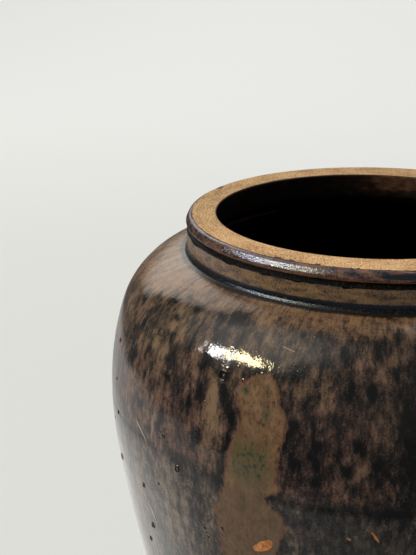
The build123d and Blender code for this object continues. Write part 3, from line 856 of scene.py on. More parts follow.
def neck_glaze_finish():
    """The same iron glaze, wiped thin: olive brown with rusty specks on the neck, purple brown and
    grainy on the lip's band, orange where the clay's edge has burnt. Its gloss is strong and
    bluish."""
    sockets = {"IOR": 2.1, "Specular_Tint": hex_colour("ccddff")}
    material, add, shader = finish("iron_glaze_wiped_thin_on_neck", **sockets)
    flow = add(ATTRIBUTE, output="Vector", attribute_name="flow")
    lip, burnt, pooled = (
        add(ATTRIBUTE, output="Fac", attribute_name=name) for name in ("lip", "burnt", "pooled")
    )
    smears = mottle(add, flow, 14 * MM, 3.2 * MM)
    fine = mottle(add, flow, 1.3 * MM, 1.6 * MM, 2, 0.6)
    tone = summed(add, 0.47, (smears, 0.36), (fine, 0.34))
    neck_stops = [(0.15, "413423"), (0.4, "6b5539"), (0.6, "806745"), (0.85, "987c56")]
    lip_stops = [(0.15, "1f1715"), (0.4, "4c372b"), (0.6, "684d3b"), (0.85, "896b50")]
    on_neck, on_band = (add(RAMP, {0: tone}, stops=stops) for stops in (neck_stops, lip_stops))
    colour = add(MIX, {0: lip, 6: on_neck, 7: on_band}, **COLOURED)
    rust = add(RANGE, {0: fine, 1: 0.42, 2: 0.62, 4: 0.7}, **EASED)
    colour = add(MIX, {0: rust, 6: colour, 7: hex_colour("87512f")}, **COLOURED)
    burnt = add(MATH, {0: smears, 1: 0.35, 2: burnt}, **ADDED)
    burnt = add(RANGE, {0: burnt, 1: 0.3, 2: 0.75}, **EASED)
    colour = add(MIX, {0: burnt, 6: colour, 7: hex_colour("9c5f38")}, **COLOURED)
    pooled = add(MATH, {0: fine, 1: 0.45, 2: pooled}, **ADDED)
    pooled = add(RANGE, {0: pooled, 1: 0.35, 2: 0.65}, **EASED)
    colour = add(MIX, {0: pooled, 6: colour, 7: hex_colour("0b0d12")}, **COLOURED)
    gloss = add(RANGE, {0: lip, 3: 0.15, 4: 0.12})
    grain = mottle(add, flow, 0.8 * MM, 0.8 * MM, 1)
    coarse = add(RANGE, {0: lip, 3: 0.4, 4: 0.3})
    relief = add(MATH, {0: fine, 1: coarse}, operation="MULTIPLY")
    grained = add(MATH, {0: grain, 1: lip}, operation="MULTIPLY")
    relief = add(MATH, {0: grained, 1: 0.6, 2: relief}, **ADDED)
    surfaced(add, shader, relief, 0.09 * MM, Base_Color=colour, Roughness=gloss)
    return material


def soft_spot(azimuth, height, degrees_round, middle, half_width, half_height):
    """1 inside a soft ellipse on the lip's band, and 0 outside."""
    across = apart(azimuth, radians(degrees_round)) * NECK_RADIUS / half_width
    return 1 - eased(np.hypot(across, (height - middle) / half_height), 0.75, 1.1)


def neck_and_lip_coat():
    """Glaze from the lip's edge over its round band, through the groove and down the neck: an arc,
    a rounded V and a straight fall, then back up inside the clay."""
    azimuth = AZIMUTHS
    edge = lip_edge(azimuth) + 0.35 * MM
    band_low = GROOVE_HEIGHT + GROOVE_HALF_WIDTH
    top = TOP - (0.75 + 0.25 * ripple(azimuth, 0, 70, 1, 61)) * MM
    corners = [
        (edge, top),
        (edge + 1.6 * MM, TOP - 1.3 * MM),
        (NECK_FACE + LIP_BULGE * 1.3, TOP - 6.4 * MM),
        (NECK_FACE, band_low),
        (NECK_FACE - GROOVE_DEPTH - 0.5 * MM, GROOVE_HEIGHT),
        (NECK_FACE, GROOVE_HEIGHT - GROOVE_HALF_WIDTH),
        (NECK_FACE, CREASE_HEIGHT - 0.4 * MM),
        (NECK_RADIUS - 0.6 * MM, CREASE_HEIGHT - 0.4 * MM),
        (NECK_RADIUS - GROOVE_DEPTH - 1.0 * MM, GROOVE_HEIGHT),
        (NECK_RADIUS - 0.8 * MM, TOP - 4.4 * MM),
        (edge - 1.2 * MM, top - 0.3 * MM),
    ]
    easings = np.array([0.3, 1.2, 1.2, 0.7, 0.7, 0.7, 0, 0, 0, 0, 0.1]) * MM
    azimuth, radius, height = spread(azimuth, filled(rounded(azimuth, corners, easings), 0.9 * MM))
    outside = eased(radius, NECK_RADIUS - 0.4 * MM, NECK_RADIUS + 0.4 * MM)
    uneven = 0.05 * ripple(azimuth, height, 60, 9 * MM, 62)
    uneven = uneven + 0.05 * ripple(azimuth, height, 420, 4 * MM, 63)
    radius = radius + outside * MM * uneven
    run = TOP - height
    on_lip = eased(height, band_low - 0.6 * MM, band_low + 0.2 * MM)
    burnt = on_lip * (1 - eased(height, band_low + 0.2 * MM, band_low + 1.3 * MM))
    near_edge = eased(height, TOP - 2.2 * MM, TOP - 1.0 * MM)
    burnt = burnt + near_edge * (0.25 + 0.5 * cloud(azimuth, run, 30 * MM, 1, 65))
    near_groove = 1 - eased(np.abs(height - GROOVE_HEIGHT), 1.9 * MM, 4.2 * MM)
    near_crease = 1 - eased(height - CREASE_HEIGHT, 4.4 * MM, 7.2 * MM)
    left_side = eased(np.abs(apart(azimuth, radians(-75))), radians(42), radians(28))
    spots = on_lip * (cloud(azimuth, run, 7 * MM, 4 * MM, 64) - 0.7 + 0.45 * left_side)
    blob = on_lip * soft_spot(azimuth, height, 9.0, TOP - 3.9 * MM, 24 * MM, 2.0 * MM)
    pooled = np.maximum(near_groove * (1 - on_lip), np.maximum(near_crease, blob))
    fields = {
        "flow": flow_at(azimuth, run),
        "lip": on_lip,
        "burnt": burnt,
        "pooled": np.maximum(pooled, eased(spots, 0.05, 0.5)),
    }
    mesh = shell_mesh("neck_and_lip_glaze", turned(azimuth, radius, height), fields=fields)
    add_piece(mesh, NECK_GLAZE, ["outer_glaze"])


NECK_GLAZE = neck_glaze_finish()
neck_and_lip_coat()


def pooled_glaze_finish(name, roughness, level, tone):
    """Thick pooled glaze, nearly opaque: blue black with a faint milky bloom, glassy in the crease
    and dry in the groove."""
    sockets = {"Specular_IOR_Level": level, "Specular_Tint": hex_colour("c8dcf8")}
    material, add, shader = finish(name, Roughness=roughness, **sockets)
    flow = add(ATTRIBUTE, output="Vector", attribute_name="flow")
    edge = add(ATTRIBUTE, output="Fac", attribute_name="edge")
    bloom = mottle(add, flow, 1.0 * MM, 1.0 * MM, 3, 0.7)
    tone = add(MATH, {0: bloom, 1: 0.8, 2: tone}, **ADDED)
    blue_stops = [(0.2, "06080b"), (0.5, "0e141a"), (0.7, "1e2831"), (0.95, "4a5963")]
    colour = add(RAMP, {0: tone}, stops=blue_stops)
    thin = add(MATH, {0: bloom, 1: 1.0, 2: edge}, **ADDED)
    thin = add(RANGE, {0: thin, 1: 0.45, 2: 0.75}, **EASED)
    colour = add(MIX, {0: thin, 6: colour, 7: hex_colour("54402c")}, **COLOURED)
    surfaced(add, shader, bloom, 0.03 * MM, Base_Color=colour)
    return material


def pool_ring(name, face, inside, soft_edge, material, replaced):
    """Ring of pooled glaze: its face follows a line of points, and it closes inside the jar. Its
    colour thins over the soft share at its lower edge and over a fifth of that at its upper one."""
    line = np.concatenate([face, ringed(AZIMUTHS, [inside])])
    azimuth, radius, height = spread(AZIMUTHS, line)
    share = np.linspace(0, 1, len(radius))[:, None] + 0 * azimuth
    fields = {
        "flow": flow_at(azimuth, 10 * MM * share),
        "edge": np.maximum(1 - 5 * share / soft_edge, 1 - (1 - share) / soft_edge).clip(0, 1),
    }
    mesh = shell_mesh(name, turned(azimuth, radius, height), fields=fields)
    add_piece(mesh, material, replaced)


# Pool in the crease, in millimetres: its width at the front, how much narrower it gets towards the
# sides, and how far it rises up the neck
CREASE_POOL_WIDTH = 8.2
CREASE_POOL_NARROWING = 3.4
CREASE_POOL_RISE = 4.2


def crease_pool():
    """Pooled glaze in the crease: down the neck's foot, across the corner in a steep narrow face
    that takes the window's light, and out over the shoulder. Its reach wavers round the jar."""
    narrower = eased(np.abs(apart(AZIMUTHS, 0)), radians(20), radians(75))
    width = CREASE_POOL_WIDTH - CREASE_POOL_NARROWING * narrower
    width = width + 0.6 * ripple(AZIMUTHS, 0, 30, 1, 71) + 0.4 * ripple(AZIMUTHS, 0, 130, 1, 72)
    width, rise = width * MM, (CREASE_POOL_RISE + 0.6 * ripple(AZIMUTHS, 0, 36, 1, 73)) * MM
    corners = [
        (NECK_FACE - 0.25 * MM, CREASE_HEIGHT + 0.8 * MM + rise),
        (NECK_FACE + 0.2 * MM, CREASE_HEIGHT + 2.4 * MM),
        (NECK_FACE + 1.7 * MM, CREASE_HEIGHT + 0.1 * MM),
        wall(width, -0.6 * MM),
    ]
    face = open_line(corners, (0, 0.5 * MM, 0.7 * MM, 0), 0.8 * MM)
    inside = (NECK_RADIUS - 1 * MM, CREASE_HEIGHT - 0.6 * MM)
    glassy = pooled_glaze_finish("iron_glaze_pooled_thick", 0.1, 0.5, 0.26)
    pool_ring("neck_crease_pool", face, inside, 0.3, glassy, ["neck_crease_glaze"])


def groove_pool():
    """Bead of pooled glaze that lines the groove under the lip and hangs over its lower edge in
    small drips."""
    drips = eased(ripple(AZIMUTHS, 0, 170, 1, 74), 0.0, 1.0) * 1.5 * MM
    reach = GROOVE_HALF_WIDTH + (0.9 + 0.4 * ripple(AZIMUTHS, 0, 60, 1, 75)) * MM + drips
    corners = [
        (NECK_FACE - 0.2 * MM, GROOVE_HEIGHT + GROOVE_HALF_WIDTH * 0.9),
        (NECK_FACE - GROOVE_DEPTH - 0.1 * MM, GROOVE_HEIGHT),
        (NECK_FACE + 0.2 * MM, GROOVE_HEIGHT - GROOVE_HALF_WIDTH - 0.2 * MM),
        (NECK_FACE + 0.2 * MM, GROOVE_HEIGHT - reach),
        (NECK_FACE - 0.2 * MM, GROOVE_HEIGHT - reach - 0.1 * MM),
    ]
    face = open_line(corners, (0, 0.6 * MM, 0.5 * MM, 0.2 * MM, 0), 1.0 * MM)
    inside = (NECK_FACE - GROOVE_DEPTH - 1.2 * MM, GROOVE_HEIGHT)
    dry = pooled_glaze_finish("iron_glaze_pooled_dry", 0.5, 0.08, 0.25)
    pool_ring("lip_groove_pool", face, inside, 0.08, dry, ["lip_groove_glaze"])


crease_pool()
groove_pool()


def inner_glaze_finish():
    """Inside coat of the iron glaze, poured in and thicker: near black, brown where it thins
    towards the mouth, most of all on the far side, where that brown is partly painted light."""
    sockets = {"Roughness": 0.38, "Specular_IOR_Level": 0.3}
    material, add, shader = finish("iron_glaze_inside_poured", **sockets)
    flow = add(ATTRIBUTE, output="Vector", attribute_name="flow")
    thin = add(ATTRIBUTE, output="Fac", attribute_name="thin")
    clouded = mottle(add, flow, 14 * MM, 5 * MM, 3)
    thin = add(MATH, {0: clouded, 1: 0.2, 2: thin}, **ADDED)
    brown_stops = [(0.1, "070605"), (0.4, "261a15"), (0.62, "5e4335"), (0.9, "8a6350")]
    colour = add(RAMP, {0: thin}, stops=brown_stops)
    peel = mottle(add, flow, 2.4 * MM, 3 * MM)
    surfaced(add, shader, peel, 0.025 * MM, Base_Color=colour)
    return material


def inner_coat():
    """Glaze inside the jar, from the floor's middle up the wall, under the shoulder and up the
    mouth's wall, which follows the hand-cut edge, then back down inside the clay. The face keeps
    the wall's thickness from the outer wall, with finger rings, and the corners are rounded."""
    azimuth = columns_round(INNER_COLUMNS, 0)
    depth = -(OUTER_COAT + WALL + INNER_COAT)
    runs = np.linspace(run_at_height(36 * MM), 8 * MM, INNER_ROWS)
    rings = 0.35 * MM * np.sin(TURN * runs / INNER_RINGS) * eased(runs, 30 * MM, 60 * MM)
    wall_radius, wall_height = wall(runs, depth + rings)
    mouth = mouth_edge(azimuth)
    floor = FLOOR + INNER_COAT
    under_floor = floor - 0.5 * MM
    wall_foot = wall_radius[0] - 3.5 * MM
    corner_radius, corner_height = wall(0.0, depth)
    mouth_foot = TOP - MOUTH_WALL_HEIGHT
    low_corners = [
        (6 * MM, floor),
        (60 * MM, floor),
        (wall_foot - 5 * MM, floor),
        (wall_radius[0], wall_height[0]),
    ]
    low = rounded(azimuth, low_corners, (0, 0, 12 * MM, 0), 8)
    up = ringed(azimuth, zip(wall_radius, wall_height))
    high_corners = [
        (wall_radius[-1], wall_height[-1]),
        (corner_radius, corner_height),
        (mouth, mouth_foot),
        (mouth, TOP - 0.9 * MM),
        (mouth + 0.35 * MM, TOP - 0.7 * MM),
    ]
    high = rounded(azimuth, high_corners, (0, 5 * MM, 3 * MM, 0, 0), 8)
    back = [
        (mouth + 1.0 * MM, TOP - 1.2 * MM),
        (mouth + 1.0 * MM, mouth_foot - 1 * MM),
        (corner_radius + 0.5 * MM, corner_height + 1.0 * MM),
        *zip(*wall(runs[::-8], depth - 0.5 * MM + INNER_COAT * 2)),
        (wall_foot + 1 * MM, under_floor),
        (6 * MM, under_floor),
    ]
    mouth_wall = filled(high[-3:-1], 1.4 * MM)
    mouth_wall = mouth_wall[: len(mouth_wall) // 2]
    rows = [low[:-1], up[:-1], high[:-2], mouth_wall[1:], high[-2:], ringed(azimuth, back)]
    azimuth, radius, height = spread(azimuth, np.concatenate(rows))
    # Painted light, in part: the mouth's inner wall is browner on the far side, where light falls
    # in through the mouth
    lit_far_side = 0.3 + 0.7 * eased(np.cos(azimuth - radians(145)), 0.5, 1.0)
    thin = 0.6 * lit_far_side * eased(height, TOP - 24 * MM, TOP - 8 * MM)
    fields = {"flow": flow_at(azimuth, height), "thin": thin}
    poles = [(0, 0, floor), (0, 0, under_floor)]
    mesh = shell_mesh("inner_glaze_coat", turned(azimuth, radius, height), poles, fields)
    add_piece(mesh, INNER_GLAZE, ["inner_glaze"])


INNER_GLAZE = inner_glaze_finish()
inner_coat()


def body_clay_finish():
    """Coarse iron-bearing stoneware, thrown and left bare: buff brown with toasted blushes, sand
    and dark iron specks."""
    material, add, shader = finish("stoneware_body_thrown_and_fired", Roughness=0.8)
    place = add(PLACE, output="Object")
    blushed = mottle(add, place, 32 * MM, 22 * MM, 3)
    sand = mottle(add, place, 1.0 * MM, 1.0 * MM, 2, 0.6)
    rings = mottle(add, place, 300 * MM, 2.4 * MM)
    tone = summed(add, 0.5, (blushed, 0.3), (sand, 0.25), (rings, 0.2))
    buff_stops = [(0.2, "6f4a30"), (0.42, "8e6241"), (0.6, "a67650"), (0.85, "bd9066")]
    colour = add(RAMP, {0: tone}, stops=buff_stops)
    distance = add(CELLS, {"Vector": place, "Scale": 1 / (4.5 * MM)}, output="Distance")
    speck = add(RANGE, {0: distance, 1: 0.14, 2: 0.06}, **EASED)
    colour = add(MIX, {0: speck, 6: colour, 7: hex_colour("3d2a1e")}, **COLOURED)
    relief = summed(add, sand, (rings, 0.8), (speck, -1.5))
    surfaced(add, shader, relief, 0.12 * MM, Base_Color=colour)
    return material


BODY_CLAY = body_clay_finish()


def neck_collar():
    """Neck's clay, all under glaze: a ring between the neck's wall and the hand-cut mouth."""
    azimuth = columns_round(CLAY_COLUMNS, 0)
    mouth = mouth_edge(azimuth) + 0.7 * MM
    corner_radius, corner_height = wall(0.0, -(OUTER_COAT + WALL))
    corners = [
        (corner_radius - 9 * MM, corner_height + 10.5 * MM),
        (mouth, TOP - MOUTH_WALL_HEIGHT + 1 * MM),
        (mouth, GROOVE_HEIGHT),
        (NECK_RADIUS - GROOVE_DEPTH - 0.3 * MM, GROOVE_HEIGHT),
        (NECK_RADIUS - 0.3 * MM, GROOVE_HEIGHT - GROOVE_HALF_WIDTH),
        (NECK_RADIUS - 0.3 * MM, CREASE_HEIGHT + 2.6 * MM),
    ]
    mesh = shell_mesh("neck_collar_clay", turned(*spread(azimuth, ringed(azimuth, corners))))
    add_piece(mesh, BODY_CLAY, ["neck_collar"])


neck_collar()


def foot_slab():
    """Base slab: a disc with a rounded edge whose underside was cut from the wheel with a twisted
    wire, which leaves shallow shell-shaped ridges, arcs about a point beside the foot."""
    azimuth = columns_round(CLAY_COLUMNS, 0)
    top, step = FLOOR - 0.2 * MM, REBATE_HEIGHT - 0.1 * MM
    bottom, rebate_radius = 0.05 * MM, 108 * MM
    side_radius = wall(run_at_height(REBATE_HEIGHT), -OUTER_COAT)[0]
    corners = [
        (8 * MM, top),
        (rebate_radius, top),
        (rebate_radius, step),
        (side_radius, step),
        (FOOT_RADIUS, bottom),
        (3 * MM, bottom),
    ]
    line = rounded(azimuth, corners, (0, 0, 0, 0.6 * MM, 2.2 * MM, 0))
    shares = np.linspace(0, 1, UNDERSIDE_ROWS)[1:]
    underside = [line[-2] + (line[-1] - line[-2]) * share for share in shares]
    azimuth, radius, height = spread(azimuth, np.concatenate([line[:-1], underside]))
    spots = turned(azimuth, radius, height)
    from_pull = np.hypot(spots[..., 0] - WIRE_PULL[0], spots[..., 1] - WIRE_PULL[1])
    wavering = ripple(azimuth, radius, 9, 40 * MM, 81)
    ridges = 0.5 + 0.5 * np.sin(TURN * from_pull / WIRE_RIDGES + wavering)
    under = 1 - eased(height, 0.2 * MM, 0.8 * MM)
    inside = 1 - eased(radius, FOOT_RADIUS - 12 * MM, FOOT_RADIUS - 5 * MM)
    height = height + under * inside * (0.15 + 0.45 * ridges) * MM
    spots = turned(azimuth, radius, height)
    mesh = shell_mesh("foot_slab_clay", spots, [(0, 0, top), (0, 0, 0.3 * MM)])
    add_piece(mesh, BODY_CLAY, ["base_slab"])


foot_slab()


def foot_wash_finish():
    """Thin iron wash brushed over the bare foot: dry, red brown, with the brush's level streaks."""
    material, add, shader = finish("iron_wash_brushed_on_foot", Roughness=0.66)
    flow = add(ATTRIBUTE, output="Vector", attribute_name="flow")
    uneven = mottle(add, flow, 30 * MM, 14 * MM, 3)
    brushed = mottle(add, flow, 60 * MM, 1.2 * MM)
    sand = mottle(add, flow, 1.0 * MM, 1.0 * MM)
    tone = summed(add, 0.5, (uneven, 0.3), (brushed, 0.25), (sand, 0.2))
    wash_stops = [(0.2, "4a2f21"), (0.42, "66432e"), (0.6, "7f573c"), (0.85, "9a7150")]
    colour = add(RAMP, {0: tone}, stops=wash_stops)
    relief = add(MATH, {0: brushed, 1: 0.9, 2: sand}, **ADDED)
    surfaced(add, shader, relief, 0.09 * MM, Base_Color=colour)
    return material


def foot_wash():
    """Wash on the lower wall's bare band: a skin over the clay with a sine of throwing rings."""
    azimuth = columns_round(WASH_COLUMNS, 0)
    upper, lower = FOOT_LINE - 14 * MM, run_at_height(REBATE_HEIGHT + 1.2 * MM)
    runs = np.linspace(upper, lower, WASH_ROWS)[:, None] + 0 * azimuth
    ends = eased(runs, upper, upper + 2 * MM) * (1 - eased(runs, lower - 2 * MM, lower))
    wavering = 0.8 * ripple(azimuth, runs, 6, 30 * MM, 82)
    rings = 0.5 + 0.5 * np.sin(TURN * runs / FOOT_RINGS + wavering)
    lift = (0.08 + ends * (0.1 + 0.25 * rings)) * MM - OUTER_COAT
    azimuth, runs, points = skin(azimuth, runs, lift, [-1, 0], -OUTER_COAT - 0.4 * MM)
    mesh = shell_mesh("foot_wash", points, fields={"flow": flow_at(azimuth, runs)})
    add_piece(mesh, foot_wash_finish())


foot_wash()


def blister_finish():
    """Blistered glaze: the same iron glaze, thin and dark over a bubble, with a glassy skin. An
    opened blister's crater is painted black, as the shade under its rim.
    """
    material, add, shader = finish("iron_glaze_blistered", Roughness=0.1, IOR=GLAZE_IOR)
    place = add(PLACE, output="Object")
    clouded = mottle(add, place, 1.6 * MM, 1.6 * MM)
    tone = add(MATH, {0: clouded, 1: 0.5, 2: 0.5}, **ADDED)
    colour = add(RAMP, {0: tone}, stops=[(0.2, "1e1816"), (0.5, "46362c"), (0.85, "6b5441")])
    # Painted shade: black in an opened blister's crater, under its rim
    burst = add(ATTRIBUTE, output="Fac", attribute_name="burst")
    colour = add(MIX, {0: burst, 6: colour, 7: hex_colour("060607")}, **COLOURED)
    surfaced(add, shader, clouded, 0.02 * MM, Base_Color=colour)
    return material


# Small blisters strewn by chance, and a burst blister's depth as a share of its radius
SCATTERED_BLISTERS = 26
CRATER_SHARE = 0.9


def blisters():
    """Domes on the glaze, joined in one piece. A dome's height falls as one less the square of the
    share of its radius, and an opened one has a crater in the middle, black in its rim's shade.
    None stands where the belly faces along an axis, so that none widens the jar."""
    chance = np.random.default_rng(91)
    marks = list(BLISTERS)
    for _ in range(SCATTERED_BLISTERS):
        ranges = (-180, 180), (20, 380), (0.5, 1.0)
        place, run, size = (chance.uniform(*limits) for limits in ranges)
        marks.append((place, run, size, 0.55, int(chance.uniform() < 0.7)))
    sides, rings = BLISTER_SIDES, BLISTER_RINGS
    around = np.arange(sides) / sides * TURN
    share = np.linspace(1.15, 0.12, rings)[:, None]
    points, faces, burst = [], [], []
    for degrees_round, middle, size, height_share, opened in marks:
        if abs((degrees_round + 45) % 90 - 45) < 9 and 70 < middle < 210:
            continue
        centre, run, half = np.array([radians(degrees_round)]), np.array([middle * MM]), size * MM
        azimuth = centre + share * np.cos(around) * half / wall(run)[0]
        runs = run + share * np.sin(around) * half * 1.1
        dome = (1 - share**2) * half * height_share
        dome = dome - opened * CRATER_SHARE * half * (1 - eased(share, 0.2, 0.62))
        rim = turned(azimuth, *wall(runs, coat_lift(azimuth, runs) + dome - 0.03 * MM))
        tip_height = (height_share - opened * CRATER_SHARE) * half
        tip = turned(centre, *wall(run, coat_lift(centre, run) + tip_height))
        base = turned(centre, *wall(run, HIDDEN_LIFT))
        first = len(points) * (rings * sides + 2)
        points.append(np.concatenate([rim.reshape(-1, 3), tip, base]))
        # Painted shade mask: 1 inside an opened blister's crater, falling to 0 at its rim
        hole = opened * (1 - eased(share, 0.7, 1.0))
        burst += np.repeat(hole, sides).tolist() + [opened, 0]
        index = first + np.arange(rings * sides).reshape(rings, sides)
        beside = np.roll(index, -1, axis=1)
        tip_index, base_index = first + rings * sides, first + rings * sides + 1
        quads = np.stack([index[:-1], index[1:], beside[1:], beside[:-1]], axis=-1)
        faces += quads.reshape(-1, 4).tolist()
        faces += [[b, a, tip_index] for a, b in zip(index[-1].tolist(), beside[-1].tolist())]
        faces += [[a, b, base_index] for a, b in zip(index[0].tolist(), beside[0].tolist())]
    mesh = bpy.data.meshes.new("glaze_blister_domes")
    mesh.from_pydata(np.concatenate(points).tolist(), [], faces)
    mesh.shade_smooth()
    mesh.attributes.new("burst", "FLOAT", "POINT").data.foreach_set("value", burst)
    add_piece(mesh, BLISTERED, ["glaze_blisters"])


def glaze_hairs():
    """Thin raised lines on the glaze, where a hair or a straw burnt out: each is a flattened tube,
    half sunk in the glaze, along a smooth path, and tapers to its ends."""
    places = np.linspace(0, 1, HAIR_ROWS)
    around = np.arange(HAIR_SIDES) / HAIR_SIDES * TURN
    for number, (stops, half) in enumerate(GLAZE_HAIRS, 1):
        degrees_round, runs = np.array(stops).T
        stop_places = np.linspace(0, 1, len(stops))
        course = np.polynomial.Polynomial.fit(stop_places, np.radians(degrees_round), 2)
        run = np.interp(places, stop_places, runs * MM)[:, None]
        width = half * MM * np.sqrt(eased(np.minimum(places, 1 - places), -0.01, 0.3))[:, None]
        azimuths = course(places)[:, None] + width * np.sin(around) / np.array(wall(run)[0])
        runs = run + 0 * azimuths
        lift = coat_lift(azimuths, runs) + 0.6 * width * np.cos(around)
        points = turned(azimuths, *wall(runs, lift))
        ends = [points[0].mean(axis=0), points[-1].mean(axis=0)]
        add_piece(shell_mesh(f"glaze_hair_{number}", points, ends), HAIR_HIGHLIGHT)


BLISTERED = blister_finish()
# Finish of the raised hairs: a pale colour painted as the highlight along each line, half glossy
HAIR_HIGHLIGHT = finish("glaze_hair_painted_highlight", Roughness=0.3, Base_Color=hex_colour("d8cfc4"))[0]
blisters()
glaze_hairs()


# Clay and slip that stay as their CAD nodes, seen only at the foot's joint and in a cut
def slip_finish():
    """Luting slip, brushed on wet: the body's clay without its sand, darker for its iron."""
    material, add, shader = finish("luting_slip_brushed", Roughness=0.85)
    place = add(PLACE, output="Object")
    brushed = mottle(add, place, 8 * MM, 3 * MM, 3)
    tone = add(MATH, {0: brushed, 1: 0.4, 2: 0.5}, **ADDED)
    colour = add(RAMP, {0: tone}, stops=[(0.2, "3c281c"), (0.5, "553a29"), (0.85, "6d4d37")])
    surfaced(add, shader, brushed, 0.08 * MM, Base_Color=colour)
    return material


LUTING_SLIP = slip_finish()
for name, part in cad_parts.items():
    material = LUTING_SLIP if name.endswith("_slip") else BODY_CLAY
    for slot in part.material_slots:
        slot.material = material


# Stage: a pale sweep that rises behind the jar. Two level directions out from the jar: where the
# painted glow of lit paper that the glaze sees reaches furthest, and where it is brightest
PAPER_SIDES = [(-0.766, 0.643, 0.0), (-0.95, 0.31, 0.0)]


def sweep_finish():
    """Matt paper. What the camera sees is part its lit face, with the jar's shadow, and part a glow
    of its own pale colour. The glaze sees only the glow, a painted reflection of lit paper, bright
    beside the window and dimmer away from it."""
    sockets = {"Roughness": 0.9, "Base_Color": hex_colour("dcdddb"), "Specular_IOR_Level": 0.0}
    material, add, shader = finish("pale_paper_sweep", **sockets)
    place = add(PLACE, output="Object")
    out = add(VECTOR, {0: place}, "Value", operation="LENGTH")
    ahead, bright = (
        add(VECTOR, {0: place, 1: side}, "Value", operation="DOT_PRODUCT") for side in PAPER_SIDES
    )
    ahead, bright = (add(MATH, {0: side, 1: out}, operation="DIVIDE") for side in (ahead, bright))
    aside = add(MATH, {0: ahead, 1: -0.6, 2: 0.6}, **ADDED)
    reached = add(MATH, {0: out, 1: aside}, operation="ADD")
    lit = add(RANGE, {0: reached, 1: 1.75, 2: 1.4, 4: 0.48}, **EASED)
    near = add(RANGE, {0: reached, 1: 0.95, 2: 0.5, 4: 0.48}, **EASED)
    lit = add(MATH, {0: lit, 1: near}, operation="ADD")
    side = add(RANGE, {0: bright, 1: 0.5, 2: 0.95, 3: 0.35, 4: 1.05})
    # Painted reflection: the glow that the glaze sees, brighter towards the window
    mirrored = add(MATH, {0: lit, 1: side, 2: 0.1}, **ADDED)
    far = add(RANGE, {0: out, 1: 0.8, 2: 3.4, 3: 0.82, 4: 1.0}, **EASED)
    in_camera, in_glaze = (add(RAY, output=f"Is {kind} Ray") for kind in ("Camera", "Glossy"))
    strength = add(MIX, {0: in_camera, 2: mirrored, 3: far}, data_type="FLOAT")
    warm, white = hex_colour("faf8f4"), hex_colour("fbfdfa")
    shade = add(MIX, {0: in_camera, 6: warm, 7: white}, **COLOURED)
    glow = add("ShaderNodeEmission", {0: shade, 1: strength})
    share = add(MATH, {0: in_camera, 1: 0.66}, operation="MULTIPLY")
    share = add(MATH, {0: in_glaze, 1: share}, operation="MAXIMUM")
    mixed = add("ShaderNodeMixShader", {0: share, 1: shader.outputs[0], 2: glow})
    tree = material.node_tree
    tree.links.new(mixed, tree.nodes["Material Output"].inputs[0])
    return material


def sweep():
    """Floor and backdrop in one sheet: flat, then a quarter round, then upright."""
    ends = np.linspace(0, pi / 2, 24)
    front, turn_start, turn_radius, top, reach = -5.0, 2.6, 1.2, 6.0, 7.0
    line = [(front, 0.0)]
    line += [(turn_start + turn_radius * sin(a), turn_radius * (1 - cos(a))) for a in ends]
    line += [(turn_start + turn_radius, top)]
    across = np.array([-reach, reach])
    y, z = (np.array(values)[:, None] + 0 * across for values in zip(*line))
    x = across + 0 * y
    points = np.stack([x, y, z], axis=-1)
    faces = [(2 * i, 2 * i + 1, 2 * i + 3, 2 * i + 2) for i in range(len(line) - 1)]
    mesh = bpy.data.meshes.new("pale_sweep")
    mesh.from_pydata(points.reshape(-1, 3).tolist(), [], faces)
    mesh.shade_smooth()
    mesh.materials.append(sweep_finish())
    stage = bpy.data.objects.new("pale_sweep", mesh)
    bpy.context.scene.collection.objects.link(stage)


sweep()


# Points that the lamps face: the jar's middle, and the window's glint on its shoulder
JAR_MIDDLE = (0, 0, 0.38)
SHOULDER_GLINT = (-0.095, -0.168, 0.413)


def lamp(name, target, azimuth, elevation, distance, width, height, power, colour):
    """Area lamp that faces a point of the jar from an azimuth and an elevation in degrees."""
    light = bpy.data.lights.new(name, "AREA")
    light.shape, light.size, light.size_y = "RECTANGLE", width, height
    light.energy, light.color = power, hex_colour(colour)[:3]
    holder = bpy.data.objects.new(name, light)
    bpy.context.scene.collection.objects.link(holder)
    turn, rise = radians(azimuth), radians(elevation)
    away = Vector((cos(rise) * sin(turn), -cos(rise) * cos(turn), sin(rise)))
    holder.location = Vector(target) + away * distance
    holder.rotation_mode = "QUATERNION"
    holder.rotation_quaternion = away.to_track_quat("Z", "Y")
    holder.visible_camera = False


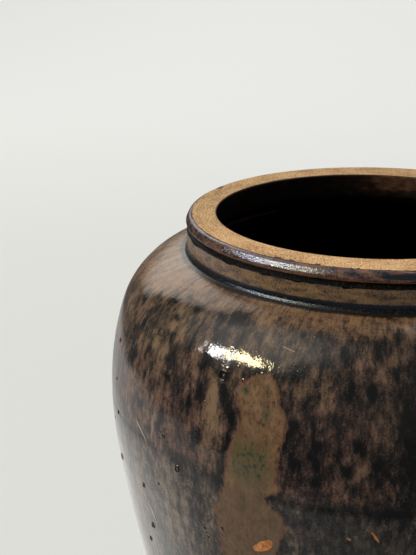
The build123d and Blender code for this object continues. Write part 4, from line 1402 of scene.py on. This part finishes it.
lamp("window_cool", SHOULDER_GLINT, -77, 29, 2.6, 0.33, 0.42, 13, "f2f2f2")
lamp("window_warm", SHOULDER_GLINT, -61, 34.5, 2.6, 0.7, 0.3, 23, "ffecb4")
lamp("back_softbox", JAR_MIDDLE, -155, 32, 3.2, 2.8, 2.5, 33, "fffaf2")
lamp("fill_softbox", JAR_MIDDLE, 120, 58, 3.0, 1.8, 1.8, 16, "ffffff")

WINDOW_AZIMUTH, WINDOW_ELEVATION = radians(-74), radians(51)


def studio_world():
    """Room whose light comes from above the window and falls off evenly away from it."""
    world = bpy.data.worlds.new("studio")
    bpy.context.scene.world = world
    world.use_nodes = True
    add, background = partial(node, world.node_tree), world.node_tree.nodes["Background"]
    level = cos(WINDOW_ELEVATION)
    windowward = (level * sin(WINDOW_AZIMUTH), -level * cos(WINDOW_AZIMUTH), sin(WINDOW_ELEVATION))
    direction = add(PLACE, output="Generated")
    towards = add(VECTOR, {0: direction, 1: windowward}, "Value", operation="DOT_PRODUCT")
    daylight = add(RANGE, {0: towards, 1: 0.79, 2: 1.0, 3: 0.15, 4: 1.05}, **EASED)
    in_camera = add(RAY, output="Is Camera Ray")
    strength = add(MIX, {0: in_camera, 2: daylight, 3: 0.8}, data_type="FLOAT")
    background.inputs["Color"].default_value = hex_colour("fffaf4")
    world.node_tree.links.new(strength, background.inputs["Strength"])


studio_world()

# Camera: the photograph's place, aim and field of view
CAMERA_PLACE = (0, -0.92853, 0.72458)
CAMERA_PAN, CAMERA_DIP, CAMERA_ROLL = radians(8.275), radians(18.551), radians(-0.11)
SENSOR_WIDTH, LENS = 36.0, 80.04
camera = bpy.data.cameras.new("camera")
camera.sensor_fit, camera.sensor_width, camera.lens = "AUTO", SENSOR_WIDTH, LENS
camera.clip_start, camera.clip_end = 0.05, 50.0
camera_holder = bpy.data.objects.new("camera", camera)
bpy.context.scene.collection.objects.link(camera_holder)
camera_holder.matrix_world = (
    Matrix.Translation(CAMERA_PLACE)
    @ Matrix.Rotation(CAMERA_PAN, 4, "Z")
    @ Matrix.Rotation(pi / 2 - CAMERA_DIP, 4, "X")
    @ Matrix.Rotation(CAMERA_ROLL, 4, "Z")
)
bpy.context.scene.camera = camera_holder
bpy.context.scene.view_settings.view_transform = "Standard"
